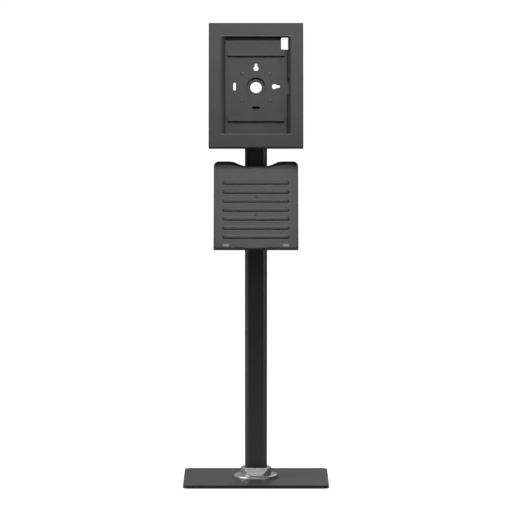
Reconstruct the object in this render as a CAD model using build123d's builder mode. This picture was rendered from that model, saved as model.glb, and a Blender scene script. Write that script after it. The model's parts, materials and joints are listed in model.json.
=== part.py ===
"""Tablet security kiosk stand: floor base, post, sliding document tray and a locking tablet enclosure.

Frame: millimetres, +Z up, the person who uses it stands on the -Y side.
Origin: the centre of the base's footprint, on the floor.
"""
from build123d import *
from math import asin, cos, degrees, radians, sin
import os

# Base plate and feet
base_width = 400.0
base_depth = 300.0
base_thickness = 9.0
base_corner_radius = 16.0
base_edge_round = 1.2
foot_radius = 10.0
foot_height = 2.0
foot_recess = 1.0
foot_inset = 25.0

# Post, a rounded aluminium section
post_width = 61.0
post_depth = 42.0
post_corner_radius = 13.0
post_wall = 2.5
post_top = 1046.0

# Foot casting, a round boss on a flange with a slope in front of and behind the post
flange_radius = 61.0
flange_thickness = 8.0
flange_edge_round = 5.0
boss_radius = 42.0
boss_height = 20.0
boss_edge_round = 1.5
slope_top_reach = 25.0
slope_foot_reach = 41.0
socket_gap = 0.3
casting_floor = 2.0

# Countersunk screws that pull the casting down
base_screw_radius = 4.0
base_screw_head_radius = 8.0
base_screw_circle_radius = 49.0
base_screw_reach = 5.0
base_screw_count = 4
hex_key_radius = 2.3
hex_key_depth = 2.2

# Socket screws that hold the post in the casting
post_screw_radius = 3.0
post_screw_head_radius = 5.0
post_screw_head_height = 3.5
post_screw_spacing = 30.0
post_screw_rise = 12.0
post_screw_seat = 28.0

# Rubber grommets in the post's rear wall
grommet_radius = 12.0
grommet_bore_radius = 7.0
grommet_lip = 2.5
grommet_proud = 1.8
grommet_low_height = 96.0
grommet_high_drop = 116.0

# Tilt yoke on the post
pivot_rise = 36.0
yoke_plug_depth = 38.0
yoke_plug_gap = 0.3
yoke_cap_thickness = 5.0
yoke_arm_thickness = 6.0
yoke_arm_gap = 48.0
yoke_arm_radius = 15.0
yoke_cable_radius = 10.0
yoke_screw_radius = 2.5
yoke_screw_head_radius = 4.5
yoke_screw_head_height = 2.4
yoke_screw_drop = 19.0
yoke_screw_bite = 8.0
pivot_bolt_radius = 4.0
pivot_gap = 0.05
pivot_head_radius = 7.0
pivot_head_height = 4.5
pivot_nut_radius = 7.4
pivot_nut_height = 6.0
pivot_washer_radius = 11.0
pivot_washer_thickness = 1.5

# Tilting head, measured along the line from the pivot to the tablet
rest_tilt = 13.0
head_reach = 62.0
carrier_thickness = 4.0
carrier_height = 64.0
carrier_corner_radius = 6.0
ear_thickness = 4.0
hub_boss_radius = 22.95
hub_gap = 0.05
cable_bore_radius = 16.0
washer_thickness = 1.0
washer_outer_radius = 29.0
retainer_radius = 26.0
retainer_thickness = 2.5
retainer_gap = 0.1
retainer_screw_circle_radius = 19.4
retainer_screw_radius = 1.5
retainer_screw_head_radius = 2.6
retainer_screw_head_height = 1.4
retainer_screw_count = 3

# Swivel plate, the pressed dish behind the enclosure
swivel_size = 88.0
swivel_corner_radius = 5.0
swivel_thickness = 3.0
swivel_cup_radius = 27.0
swivel_cup_depth = 14.0
swivel_floor = 2.0
vesa_spacing = 75.0
vesa_screw_radius = 2.0
vesa_head_radius = 4.8
vesa_head_height = 2.4

# Tablet that the enclosure holds, and the room from its edges to the enclosure's outside
tablet_width = 215.0
tablet_length = 281.0
tablet_side_room = 21.3
tablet_end_room = 31.35

# Sheet-steel enclosure
enclosure_depth = 27.0
sheet = 1.5
lid_gap = 0.3
lid_back_gap = 1.0
lid_notch_gap = 0.5
enclosure_corner_radius = 2.0
bend_radius = 2.0
panel_hole_radius = 25.0

# Tablet window in the front frame, which laps over the tablet's edges
window_side_lap = 10.0
window_end_lap = 5.0
window_roll_radius = 15.5
window_roll_turn = 60.0
window_roll_relief = 1.0
window_notch_radius = 5.0
window_notch_depth = 2.7
side_notch_length = 46.0
side_notch_depth = 5.0
side_notch_rise = -3.0
side_notch_round = 3.0
camera_relief_depth = 3.2
camera_relief_length = 37.0

# Back panel cut-outs
camera_width = 36.0
camera_height = 33.0
camera_side_inset = 24.3
camera_end_inset = 36.35
camera_corner_radius = 3.0
keyhole_head_radius = 7.0
keyhole_slot_radius = 3.5
keyhole_head_offset = 50.0
keyhole_slot_offset_top = 60.0
keyhole_slot_offset_right = 62.0
slot_length = 22.0
slot_offset = 58.5

# Folded rails that carry the back of the tablet
rail_length = 154.0
rail_width = 17.2
rail_height = 10.5
rail_upper_offset = 91.5
rail_lower_offset = 88.5

# Rubber spacers that centre the tablet in the box
spacer_length = 30.0
spacer_height = 16.0
spacer_offset = 89.0

# Rubber strips behind the window's upper and lower edges
strip_width = 4.0
strip_thickness = 6.0
strip_end_inset = 12.5
strip_setback = 0.8

# Cam lock in the left wall
lock_radius = 6.5
lock_head_radius = 8.5
lock_head_height = 1.8
lock_length = 12.5
lock_depth_centre = 11.0
lock_ring_radius = 8.7
lock_ring_height = 4.0
lock_plug_radius = 4.0
lock_gap = 0.05
keyway_width = 1.2
keyway_length = 5.0
keyway_depth = 3.0
cam_thickness = 2.0
cam_width = 10.0
cam_reach = 13.5
cam_offset = 0.2
cam_screw_radius = 1.5
cam_screw_head_radius = 2.6
cam_screw_head_height = 1.3
cam_screw_bite = 4.0

# Catch on the frame that hooks under the cam
catch_rise = 8.0
catch_length = 12.0
catch_clearance = 1.5
catch_foot_thickness = 2.0
catch_foot_reach = 5.0
catch_foot_lift = 0.8
catch_tab_width = 9.0

# Piano hinge along the right wall
hinge_end_inset = 11.85
hinge_knuckle_count = 9
hinge_knuckle_radius = 2.5
hinge_knuckle_gap = 0.15
hinge_pin_radius = 1.2
hinge_pin_gap = 0.05
hinge_axis_inset = 1.0
hinge_axis_drop = 4.5
hinge_leaf_width = 14.0
hinge_leaf_gap = 0.2

# Document tray, a dished steel plate with a ledge
tray_width = 231.0
tray_height = 247.0
tray_sheet = 2.5
tray_rim = 14.0
tray_recline = 20.0
tray_centre_y = -77.0
tray_centre_drop = 312.0
tray_top_corner_radius = 14.0
tray_crest_inset = 42.5
tray_dip_depth = 12.0
tray_dip_half_width = 15.0
tray_crest_radius = 50.0
rim_scoop_depth = 12.0
rim_scoop_half_width = 62.0
tray_ledge_depth = 30.0
tray_ledge_corner_radius = 5.0
ledge_scoop_depth = 10.0
ledge_scoop_half_width = 60.0
tray_cheek_rise = 28.0
tray_edge_round = 0.8
rib_end_inset = 24.0
rib_width = 10.5
rib_height = 2.2
rib_round = 1.4
rib_pitch = 25.4
rib_count = 7
rib_first = 66.5
rib_groove_depth = 1.2
stop_tab_width = 20.0
stop_tab_height = 10.0
stop_tab_inset = 33.5
stop_tab_round = 4.0
tray_screw_radius = 2.0
tray_screw_head_radius = 3.8
tray_screw_head_height = 2.0
tray_screw_shift = 3.0
tray_screw_spacing = 50.8

# Bracket behind the tray and its pivot
bracket_sheet = 3.0
bracket_height = 84.0
bracket_corner_radius = 5.0
tray_pivot_setback = 22.0
bracket_ear_thickness = 4.0
bracket_ear_radius = 9.0
bracket_ear_root = 50.0
lug_width = 30.0
lug_root_share = 0.8
tray_washer_thickness = 1.5
tray_washer_radius = 8.5

# Two-part clamp that slides on the post
clamp_gap = 0.3
clamp_liner = 0.8
clamp_wall = 6.0
clamp_height = 50.0
clamp_split = 2.0
clamp_flange_thickness = 5.0
clamp_flange_reach = 15.0
clamp_bolt_radius = 3.0
clamp_bolt_spacing = 30.0
clamp_bolt_head_radius = 5.0
clamp_bolt_head_height = 5.0
clamp_nut_radius = 5.6
clamp_nut_height = 5.0

# Fits and overruns shared by all pieces
thread_gap = 0.05
face_gap = 0.05
hole_gap = 0.3
overrun = 2.0
hex_sides = 6
head_bevel_share = 0.25
socket_key_share = 0.45

# Places that follow from the sizes
base_bottom = foot_height - foot_recess
base_top = base_bottom + base_thickness
flange_top = base_top + flange_thickness
boss_top = flange_top + boss_height
post_bottom = base_top + casting_floor
grommet_high_height = post_top - grommet_high_drop
pivot_height = post_top + pivot_rise
tray_centre_height = pivot_height - tray_centre_drop
post_inner_width = post_width - 2 * post_wall
post_inner_depth = post_depth - 2 * post_wall
post_inner_radius = post_corner_radius - post_wall
yoke_cap_top = post_top + yoke_cap_thickness
yoke_arm_outer = yoke_arm_gap / 2 + yoke_arm_thickness
ear_inner = yoke_arm_outer + pivot_washer_thickness
ear_outer = ear_inner + ear_thickness
enclosure_width = tablet_width + 2 * tablet_side_room
enclosure_height = tablet_length + 2 * tablet_end_room
window_cut_width = tablet_width - 2 * window_side_lap
window_roll_reach = window_roll_radius * sin(radians(window_roll_turn))
window_clear_width = window_cut_width - 2 * window_roll_reach
window_height = tablet_length - 2 * window_end_lap
box_half_width = enclosure_width / 2 - sheet - lid_gap
box_half_height = enclosure_height / 2 - sheet - lid_gap
lid_inner_depth = enclosure_depth - sheet
box_rim_depth = lid_inner_depth - lid_gap
hinge_axis_across = box_half_width - hinge_axis_inset
hinge_axis_depth = enclosure_depth - hinge_axis_drop
box_hinge_wall_depth = hinge_axis_depth - hinge_knuckle_radius - hinge_leaf_gap - lid_gap
hinge_length = enclosure_height - 2 * hinge_end_inset
strip_length = window_cut_width - 2 * strip_end_inset
rib_length = tray_width - 2 * rib_end_inset
clamp_inner_offset = clamp_gap + clamp_liner
clamp_outer_offset = clamp_inner_offset + clamp_wall

# The tilting head's plane: X to the right, Y up the tablet, Z out of its face
head_normal = Vector(0, -cos(radians(rest_tilt)), sin(radians(rest_tilt)))
head_origin = Vector(0, 0, pivot_height) + head_normal * head_reach
head_plane = Plane(origin=head_origin, x_dir=(1, 0, 0), z_dir=head_normal)
head_axis = Axis(head_origin, head_normal)

# The document tray's plane, in the same sense
tray_normal = Vector(0, -cos(radians(tray_recline)), sin(radians(tray_recline)))
tray_origin = Vector(0, tray_centre_y, tray_centre_height)
tray_plane = Plane(origin=tray_origin, x_dir=(1, 0, 0), z_dir=tray_normal)
tray_axis = Axis(tray_origin, tray_normal)
tray_pivot = tray_origin - tray_normal * tray_pivot_setback

os.makedirs("parts", exist_ok=True)


def save(piece, name):
    """Label a finished piece and write it under its own name."""
    piece.label = name
    export_step(piece, f"parts/{name}.step")


def socket_screw(shaft_radius, shaft_length, head_radius, head_height):
    """Screw along Z with a bevelled head above the origin, its shaft below and a hexagon socket."""
    centre_max = (Align.CENTER, Align.CENTER, Align.MAX)
    centre_min = (Align.CENTER, Align.CENTER, Align.MIN)
    with BuildPart() as screw:
        Cylinder(shaft_radius, shaft_length, align=centre_max)
        Cylinder(head_radius, head_height, align=centre_min)
        chamfer(screw.faces().sort_by(Axis.Z)[-1].edges(), head_height * head_bevel_share)
        with BuildSketch(Plane.XY.offset(head_height)):
            RegularPolygon(head_radius * socket_key_share, hex_sides)
        extrude(amount=-head_height / 2, mode=Mode.SUBTRACT)
    return screw.part


def countersunk_screw(shaft_radius, length, head_radius):
    """Screw along Z whose flat head ends at the origin, with its shaft below."""
    with BuildPart() as screw:
        with BuildSketch(Plane.XZ):
            with BuildLine():
                Polyline(
                    (0, 0),
                    (head_radius, 0),
                    (shaft_radius, shaft_radius - head_radius),
                    (shaft_radius, -length),
                    (0, -length),
                    close=True,
                )
            make_face()
        revolve(axis=Axis.Z)
        with BuildSketch():
            RegularPolygon(hex_key_radius, hex_sides)
        extrude(amount=-hex_key_depth, mode=Mode.SUBTRACT)
    return screw.part


def hex_nut(radius, bore_radius, height):
    """Hexagon nut standing on the origin along Z, with rounded corners."""
    with BuildPart() as nut:
        with BuildSketch():
            RegularPolygon(radius, hex_sides)
            Circle(bore_radius, mode=Mode.SUBTRACT)
        extrude(amount=height)
    return nut.part


def washer(radius, bore_radius, thickness):
    """Flat washer standing on the origin along Z."""
    with BuildPart() as ring:
        with BuildSketch():
            Circle(radius)
            Circle(bore_radius, mode=Mode.SUBTRACT)
        extrude(amount=thickness)
    return ring.part


def side_plane(frame, across):
    """Plane square to X at a place across a tilted frame: X along its normal, Y up its face."""
    origin = frame.from_local_coords((across, 0, 0))
    return Plane(origin=origin, x_dir=frame.z_dir, z_dir=-frame.x_dir)


def section_plane(frame, along):
    """Plane square to a tilted face's long direction: X across, Y out of the face."""
    origin = frame.from_local_coords((0, along, 0))
    return Plane(origin=origin, x_dir=frame.x_dir, z_dir=-frame.y_dir)


def x_plane(across, height):
    """Upright plane square to X: X to the rear, Y up."""
    return Plane(origin=(across, 0, height), x_dir=(0, 1, 0), z_dir=(1, 0, 0))


# Base plate, with recesses for the feet and countersinks underneath
foot_places = [
    (x * (base_width / 2 - foot_inset), y * (base_depth / 2 - foot_inset))
    for x in (-1, 1)
    for y in (-1, 1)
]
underside = Plane(origin=(0, 0, base_bottom), z_dir=(0, 0, -1))
with BuildPart() as base_plate:
    with BuildSketch(Plane.XY.offset(base_bottom)):
        RectangleRounded(base_width, base_depth, base_corner_radius)
    extrude(amount=base_thickness)
    fillet(base_plate.faces().sort_by(Axis.Z)[-1].edges(), base_edge_round)
    with BuildSketch(Plane.XY.offset(base_bottom)):
        with Locations(*foot_places):
            Circle(foot_radius)
    extrude(amount=foot_recess, mode=Mode.SUBTRACT)
    with Locations(underside):
        with PolarLocations(base_screw_circle_radius, base_screw_count):
            CounterSinkHole(base_screw_radius + thread_gap, base_screw_head_radius)
save(base_plate.part, "base_plate")

with BuildPart() as rubber_feet:
    with BuildSketch():
        with Locations(*foot_places):
            Circle(foot_radius)
    extrude(amount=foot_height)
save(rubber_feet.part, "rubber_feet")

# Foot casting: a flange, and a boss that takes the post and slopes down before and behind it
with BuildPart() as foot_casting:
    with BuildSketch(Plane.XY.offset(base_top)):
        Circle(flange_radius)
    extrude(amount=flange_thickness)
    fillet(foot_casting.faces().sort_by(Axis.Z)[-1].edges(), flange_edge_round)
    with BuildSketch(Plane.XY.offset(flange_top)):
        Circle(boss_radius)
    extrude(amount=boss_height)
    fillet(foot_casting.faces().sort_by(Axis.Z)[-1].edges(), boss_edge_round)
    for side in (-1, 1):
        with BuildSketch(Plane.YZ.offset(-boss_radius)):
            with BuildLine():
                Polyline(
                    (side * slope_foot_reach, flange_top),
                    (side * slope_top_reach, boss_top),
                    (side * slope_top_reach, boss_top + overrun),
                    (side * (boss_radius + overrun), boss_top + overrun),
                    (side * (boss_radius + overrun), flange_top),
                    close=True,
                )
            make_face()
        extrude(amount=2 * boss_radius, mode=Mode.SUBTRACT)
    with BuildSketch(Plane.XY.offset(post_bottom)):
        RectangleRounded(
            post_width + 2 * socket_gap, post_depth + 2 * socket_gap, post_corner_radius + socket_gap
        )
    extrude(amount=boss_top, mode=Mode.SUBTRACT)
    with BuildSketch(Plane.XY.offset(base_top)):
        with PolarLocations(base_screw_circle_radius, base_screw_count):
            Circle(base_screw_radius + thread_gap)
    extrude(amount=base_screw_reach, mode=Mode.SUBTRACT)
    post_screw_height = flange_top + post_screw_rise
    with BuildSketch(Plane.XZ.offset(-boss_radius)):
        with Locations((0, post_screw_height)):
            with GridLocations(post_screw_spacing, 0, 2, 1):
                Circle(post_screw_head_radius + hole_gap)
    extrude(amount=boss_radius - post_screw_seat, mode=Mode.SUBTRACT)
    with BuildSketch(Plane.XZ.offset(-post_screw_seat)):
        with Locations((0, post_screw_height)):
            with GridLocations(post_screw_spacing, 0, 2, 1):
                Circle(post_screw_radius + thread_gap)
    extrude(amount=post_screw_seat, mode=Mode.SUBTRACT)
save(foot_casting.part, "foot_casting")

base_screw = countersunk_screw(
    base_screw_radius, base_thickness + base_screw_reach, base_screw_head_radius
)
with BuildPart() as base_screws:
    with Locations(underside):
        with PolarLocations(base_screw_circle_radius, base_screw_count):
            add(base_screw)
save(base_screws.part, "base_screws")

post_screw = socket_screw(
    post_screw_radius,
    post_screw_seat - post_inner_depth / 2,
    post_screw_head_radius,
    post_screw_head_height,
)
with BuildPart() as post_screws:
    for across in (-1, 1):
        head_seat = (across * post_screw_spacing / 2, post_screw_seat, post_screw_height)
        with Locations(Plane(origin=head_seat, z_dir=(0, 1, 0))):
            add(post_screw)
save(post_screws.part, "post_screws")

# Post: a hollow rounded section with cable holes in its rear wall
grommet_heights = (grommet_low_height, grommet_high_height)
yoke_screw_height = post_top - yoke_screw_drop
with BuildPart() as post:
    with BuildSketch(Plane.XY.offset(post_bottom)):
        RectangleRounded(post_width, post_depth, post_corner_radius)
        RectangleRounded(post_inner_width, post_inner_depth, post_inner_radius, mode=Mode.SUBTRACT)
    extrude(amount=post_top - post_bottom)
    with BuildSketch(Plane.XZ):
        for height in grommet_heights:
            with Locations((0, height)):
                Circle(grommet_radius - grommet_lip)
        with Locations((0, post_screw_height)):
            with GridLocations(post_screw_spacing, 0, 2, 1):
                Circle(post_screw_radius + thread_gap)
    extrude(amount=-post_depth, mode=Mode.SUBTRACT)
    with BuildSketch(Plane.YZ):
        with Locations((0, yoke_screw_height)):
            Circle(yoke_screw_radius + thread_gap)
    extrude(amount=post_width, both=True, mode=Mode.SUBTRACT)
save(post.part, "post")

# Rubber grommets: a round lip on each side of the post's wall
with BuildPart() as cable_grommets:
    for height in grommet_heights:
        outer_face = Plane(origin=(0, post_depth / 2, height), z_dir=(0, 1, 0))
        with BuildSketch(outer_face):
            Circle(grommet_radius)
            Circle(grommet_bore_radius, mode=Mode.SUBTRACT)
        extrude(amount=grommet_proud)
        with BuildSketch(outer_face):
            Circle(grommet_radius - grommet_lip)
            Circle(grommet_bore_radius, mode=Mode.SUBTRACT)
        extrude(amount=-post_wall)
        with BuildSketch(outer_face.offset(-post_wall)):
            Circle(grommet_radius)
            Circle(grommet_bore_radius, mode=Mode.SUBTRACT)
        extrude(amount=-grommet_proud)
save(cable_grommets.part, "cable_grommets")

# Tilt yoke: a plug in the post's mouth, a cap over its end and two round-topped arms
with BuildPart() as tilt_yoke:
    with BuildSketch(Plane.XY.offset(post_top)):
        RectangleRounded(post_width, post_depth, post_corner_radius)
    extrude(amount=yoke_cap_thickness)
    with BuildSketch(Plane.XY.offset(post_top)):
        RectangleRounded(
            post_inner_width - 2 * yoke_plug_gap,
            post_inner_depth - 2 * yoke_plug_gap,
            post_inner_radius - yoke_plug_gap,
        )
    extrude(amount=-yoke_plug_depth)
    for across in (-yoke_arm_outer, yoke_arm_gap / 2):
        with BuildSketch(x_plane(across, pivot_height)):
            Circle(yoke_arm_radius)
            with Locations((0, (yoke_cap_top - pivot_height) / 2)):
                Rectangle(2 * yoke_arm_radius, pivot_height - yoke_cap_top)
        extrude(amount=yoke_arm_thickness)
    with BuildSketch(x_plane(-yoke_arm_outer, pivot_height)):
        Circle(pivot_bolt_radius + pivot_gap)
    extrude(amount=2 * yoke_arm_outer, mode=Mode.SUBTRACT)
    with BuildSketch(Plane.XY.offset(post_top - yoke_plug_depth)):
        Circle(yoke_cable_radius)
    extrude(amount=yoke_plug_depth + yoke_cap_thickness, mode=Mode.SUBTRACT)
    for across, reach in ((post_inner_width / 2, -1), (-post_inner_width / 2, 1)):
        with BuildSketch(x_plane(across, yoke_screw_height)):
            Circle(yoke_screw_radius + thread_gap)
        extrude(amount=reach * (yoke_screw_bite + overrun), mode=Mode.SUBTRACT)
save(tilt_yoke.part, "tilt_yoke")

yoke_screw = socket_screw(
    yoke_screw_radius, post_wall + yoke_screw_bite, yoke_screw_head_radius, yoke_screw_head_height
)
with BuildPart() as yoke_screws:
    for side in (-1, 1):
        head_seat = Plane(origin=(side * post_width / 2, 0, yoke_screw_height), z_dir=(side, 0, 0))
        with Locations(head_seat):
            add(yoke_screw)
save(yoke_screws.part, "yoke_screws")

# Pivot bolts, washers and nuts on each side of the yoke, clear of the cable bore
pivot_bolt = socket_screw(
    pivot_bolt_radius,
    ear_outer + face_gap - yoke_arm_gap / 2 + pivot_nut_height,
    pivot_head_radius,
    pivot_head_height,
)
pivot_washer = washer(
    pivot_washer_radius, pivot_bolt_radius + pivot_gap, pivot_washer_thickness - face_gap
)
pivot_nut = hex_nut(pivot_nut_radius, pivot_bolt_radius + thread_gap, pivot_nut_height)


def pivot_seat(side, across):
    """Plane on the tilt axis that faces outwards on one side."""
    return Plane(origin=(side * across, 0, pivot_height), z_dir=(side, 0, 0))


with BuildPart() as tilt_bolts:
    for side in (-1, 1):
        with Locations(pivot_seat(side, ear_outer + face_gap)):
            add(pivot_bolt)
save(tilt_bolts.part, "tilt_bolts")

with BuildPart() as tilt_washers:
    for side in (-1, 1):
        with Locations(pivot_seat(side, yoke_arm_outer)):
            add(pivot_washer)
save(tilt_washers.part, "tilt_washers")

with BuildPart() as tilt_nuts:
    for side in (-1, 1):
        with Locations(pivot_seat(side, yoke_arm_gap / 2 - pivot_nut_height)):
            add(pivot_nut)
save(tilt_nuts.part, "tilt_nuts")

# Tilt carrier: a plate with a cable bore and hub boss in front, and two ears that reach back to the pivot
hub_floor_back = -swivel_cup_depth
carrier_front = hub_floor_back - washer_thickness
carrier_back = carrier_front - carrier_thickness
hub_boss_front = hub_floor_back + swivel_floor + retainer_gap
with BuildPart() as tilt_carrier:
    with BuildSketch(head_plane.offset(carrier_back)):
        RectangleRounded(2 * ear_outer, carrier_height, carrier_corner_radius)
    extrude(amount=carrier_thickness)
    for across in (ear_outer, -ear_inner):
        with BuildSketch(side_plane(head_plane, across)):
            with Locations((-head_reach, 0)):
                Circle(yoke_arm_radius)
            with Locations((carrier_back + carrier_thickness / 2, 0)):
                Rectangle(carrier_thickness, carrier_height - 2 * carrier_corner_radius)
            make_hull()
        extrude(amount=ear_thickness)
    with BuildSketch(head_plane.offset(carrier_front)):
        Circle(hub_boss_radius)
    extrude(amount=hub_boss_front - carrier_front)
    with BuildSketch(head_plane.offset(carrier_back)):
        Circle(cable_bore_radius)
    extrude(amount=hub_boss_front - carrier_back, mode=Mode.SUBTRACT)
    with BuildSketch(side_plane(head_plane, ear_outer)):
        with Locations((-head_reach, 0)):
            Circle(pivot_bolt_radius + pivot_gap)
    extrude(amount=2 * ear_outer, mode=Mode.SUBTRACT)
    with BuildSketch(head_plane.offset(hub_boss_front)):
        with PolarLocations(retainer_screw_circle_radius, retainer_screw_count, start_angle=90):
            Circle(retainer_screw_radius + thread_gap)
    extrude(amount=-(carrier_thickness + washer_thickness), mode=Mode.SUBTRACT)
save(tilt_carrier.part, "tilt_carrier")

# Slip washer between the carrier and the swivel plate's floor
with BuildPart() as swivel_washer:
    with BuildSketch(head_plane.offset(carrier_front)):
        Circle(washer_outer_radius)
        Circle(hub_boss_radius + hub_gap, mode=Mode.SUBTRACT)
    extrude(amount=washer_thickness - face_gap)
save(swivel_washer.part, "swivel_washer")

# Retainer ring that traps the swivel plate on the hub
with BuildPart() as retainer_ring:
    with BuildSketch(head_plane.offset(hub_boss_front)):
        Circle(retainer_radius)
        Circle(cable_bore_radius, mode=Mode.SUBTRACT)
        with PolarLocations(retainer_screw_circle_radius, retainer_screw_count, start_angle=90):
            Circle(retainer_screw_radius + thread_gap, mode=Mode.SUBTRACT)
    extrude(amount=retainer_thickness)
save(retainer_ring.part, "retainer_ring")

retainer_screw = socket_screw(
    retainer_screw_radius,
    retainer_thickness + carrier_thickness,
    retainer_screw_head_radius,
    retainer_screw_head_height,
)
with BuildPart() as retainer_screws:
    with Locations(head_plane.offset(hub_boss_front + retainer_thickness)):
        with PolarLocations(retainer_screw_circle_radius, retainer_screw_count, start_angle=90):
            add(retainer_screw)
save(retainer_screws.part, "retainer_screws")

# Swivel plate: a pressed dish that turns on the hub and carries the enclosure on four screws
with BuildPart() as swivel_plate:
    with BuildSketch(head_plane.offset(-swivel_thickness)):
        RectangleRounded(swivel_size, swivel_size, swivel_corner_radius)
    extrude(amount=swivel_thickness)
    with BuildSketch(head_plane.offset(hub_floor_back)):
        Circle(swivel_cup_radius + swivel_floor)
    extrude(amount=swivel_cup_depth)
    with BuildSketch(head_plane):
        Circle(swivel_cup_radius)
    extrude(amount=swivel_floor - swivel_cup_depth, mode=Mode.SUBTRACT)
    with BuildSketch(head_plane.offset(hub_floor_back)):
        Circle(hub_boss_radius + hub_gap)
    extrude(amount=swivel_floor, mode=Mode.SUBTRACT)
    with BuildSketch(head_plane):
        with GridLocations(vesa_spacing, vesa_spacing, 2, 2):
            Circle(vesa_screw_radius + thread_gap)
    extrude(amount=-swivel_thickness, mode=Mode.SUBTRACT)
save(swivel_plate.part, "swivel_plate")

vesa_screw = socket_screw(
    vesa_screw_radius, sheet + swivel_thickness + overrun, vesa_head_radius, vesa_head_height
)
with BuildPart() as vesa_screws:
    with Locations(head_plane.offset(sheet)):
        with GridLocations(vesa_spacing, vesa_spacing, 2, 2):
            add(vesa_screw)
save(vesa_screws.part, "vesa_screws")

# Back box: a folded tray of sheet steel whose right wall stops below the hinge's knuckles
camera_across = enclosure_width / 2 - camera_side_inset - camera_width / 2
camera_up = enclosure_height / 2 - camera_end_inset - camera_height / 2
with BuildPart() as back_box:
    with BuildSketch(head_plane):
        RectangleRounded(2 * box_half_width, 2 * box_half_height, enclosure_corner_radius)
    extrude(amount=box_rim_depth)
    with BuildSketch(head_plane.offset(sheet)):
        Rectangle(2 * (box_half_width - sheet), 2 * (box_half_height - sheet))
    extrude(amount=box_rim_depth, mode=Mode.SUBTRACT)
    with BuildSketch(head_plane.offset(box_hinge_wall_depth)):
        with Locations((box_half_width, 0)):
            Rectangle(2 * overrun, 2 * (box_half_height - sheet))
    extrude(amount=box_rim_depth, mode=Mode.SUBTRACT)
    with BuildSketch(head_plane):
        Circle(panel_hole_radius)
        with GridLocations(vesa_spacing, vesa_spacing, 2, 2):
            Circle(vesa_screw_radius + hole_gap)
        with Locations((camera_across, camera_up)):
            RectangleRounded(camera_width, camera_height, camera_corner_radius)
        with Locations((0, keyhole_head_offset), (keyhole_head_offset, 0)):
            Circle(keyhole_head_radius)
        with Locations((0, (keyhole_head_offset + keyhole_slot_offset_top) / 2)):
            SlotCenterToCenter(
                keyhole_slot_offset_top - keyhole_head_offset, 2 * keyhole_slot_radius, rotation=90
            )
        with Locations(((keyhole_head_offset + keyhole_slot_offset_right) / 2, 0)):
            SlotCenterToCenter(
                keyhole_slot_offset_right - keyhole_head_offset, 2 * keyhole_slot_radius
            )
        with Locations((-slot_offset, 0)):
            SlotOverall(slot_length, 2 * keyhole_slot_radius, rotation=90)
        with Locations((0, -slot_offset)):
            SlotOverall(slot_length, 2 * keyhole_slot_radius)
    extrude(amount=sheet, mode=Mode.SUBTRACT)
    with BuildSketch(side_plane(head_plane, -box_half_width + sheet)):
        with Locations((lock_depth_centre, 0)):
            Circle(lock_radius + thread_gap)
    extrude(amount=sheet, mode=Mode.SUBTRACT)
save(back_box.part, "back_box")

# Folded rails on the back panel, open at their ends, that carry the tablet's back
with BuildPart() as support_rails:
    with BuildSketch(head_plane.offset(sheet)):
        with Locations((0, rail_upper_offset), (0, -rail_lower_offset)):
            Rectangle(rail_length, rail_width)
    extrude(amount=rail_height)
    with BuildSketch(head_plane.offset(sheet)):
        with Locations((0, rail_upper_offset), (0, -rail_lower_offset)):
            Rectangle(rail_length, rail_width - 2 * sheet)
    extrude(amount=rail_height - sheet, mode=Mode.SUBTRACT)
save(support_rails.part, "support_rails")

# Rubber spacers between the tablet's edges and the walls, two on each side
box_inner_width = box_half_width - sheet
box_inner_height = box_half_height - sheet
spacer_reach = box_inner_height - tablet_length / 2
side_spacer_reach = box_inner_width - sheet - hinge_leaf_gap - tablet_width / 2
with BuildPart() as tablet_spacers:
    with BuildSketch(head_plane.offset(sheet)):
        for side in (-1, 1):
            with Locations((0, side * (box_inner_height - spacer_reach / 2))):
                with GridLocations(rail_length, 0, 2, 1):
                    Rectangle(spacer_length, spacer_reach)
            with Locations((side * (tablet_width + side_spacer_reach) / 2, 0)):
                with GridLocations(0, 2 * spacer_offset, 1, 2):
                    Rectangle(side_spacer_reach, spacer_length)
    extrude(amount=spacer_height)
save(tablet_spacers.part, "tablet_spacers")

# Cam lock through the left wall: body, ring nut, turning plug, cam and its screw
lock_outer = -box_half_width - lock_head_height
lock_inner = -box_half_width + lock_length
cam_outer = lock_inner + cam_offset
cam_inner = cam_outer + cam_thickness


def lock_plane(across):
    """Plane square to X with its origin on the lock's axis."""
    place = head_plane.from_local_coords((across, 0, lock_depth_centre))
    return Plane(origin=place, x_dir=head_plane.z_dir, z_dir=head_plane.x_dir)


with BuildPart() as lock_body:
    with BuildSketch(lock_plane(lock_outer)):
        Circle(lock_head_radius)
    extrude(amount=lock_head_height)
    with BuildSketch(lock_plane(-box_half_width)):
        Circle(lock_radius)
    extrude(amount=lock_length)
    with BuildSketch(lock_plane(lock_outer)):
        Circle(lock_plug_radius + lock_gap)
    extrude(amount=lock_length + lock_head_height, mode=Mode.SUBTRACT)
save(lock_body.part, "lock_body")

with BuildPart() as lock_ring_nut:
    with BuildSketch(lock_plane(-box_inner_width)):
        Circle(lock_ring_radius)
        Circle(lock_radius + thread_gap, mode=Mode.SUBTRACT)
    extrude(amount=lock_ring_height)
save(lock_ring_nut.part, "lock_ring_nut")

with BuildPart() as lock_plug:
    with BuildSketch(lock_plane(lock_outer)):
        Circle(lock_plug_radius)
    extrude(amount=cam_outer - lock_outer)
    with BuildSketch(lock_plane(lock_outer)):
        Rectangle(keyway_length, keyway_width)
    extrude(amount=keyway_depth, mode=Mode.SUBTRACT)
    with BuildSketch(lock_plane(cam_outer)):
        Circle(cam_screw_radius + thread_gap)
    extrude(amount=-cam_screw_bite, mode=Mode.SUBTRACT)
save(lock_plug.part, "lock_plug")

with BuildPart() as lock_cam:
    with BuildSketch(lock_plane(cam_outer)):
        with Locations(((cam_reach - cam_width / 2) / 2, 0)):
            SlotCenterToCenter(cam_reach - cam_width / 2, cam_width)
        Circle(cam_screw_radius + thread_gap, mode=Mode.SUBTRACT)
    extrude(amount=cam_thickness)
save(lock_cam.part, "lock_cam")

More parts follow.
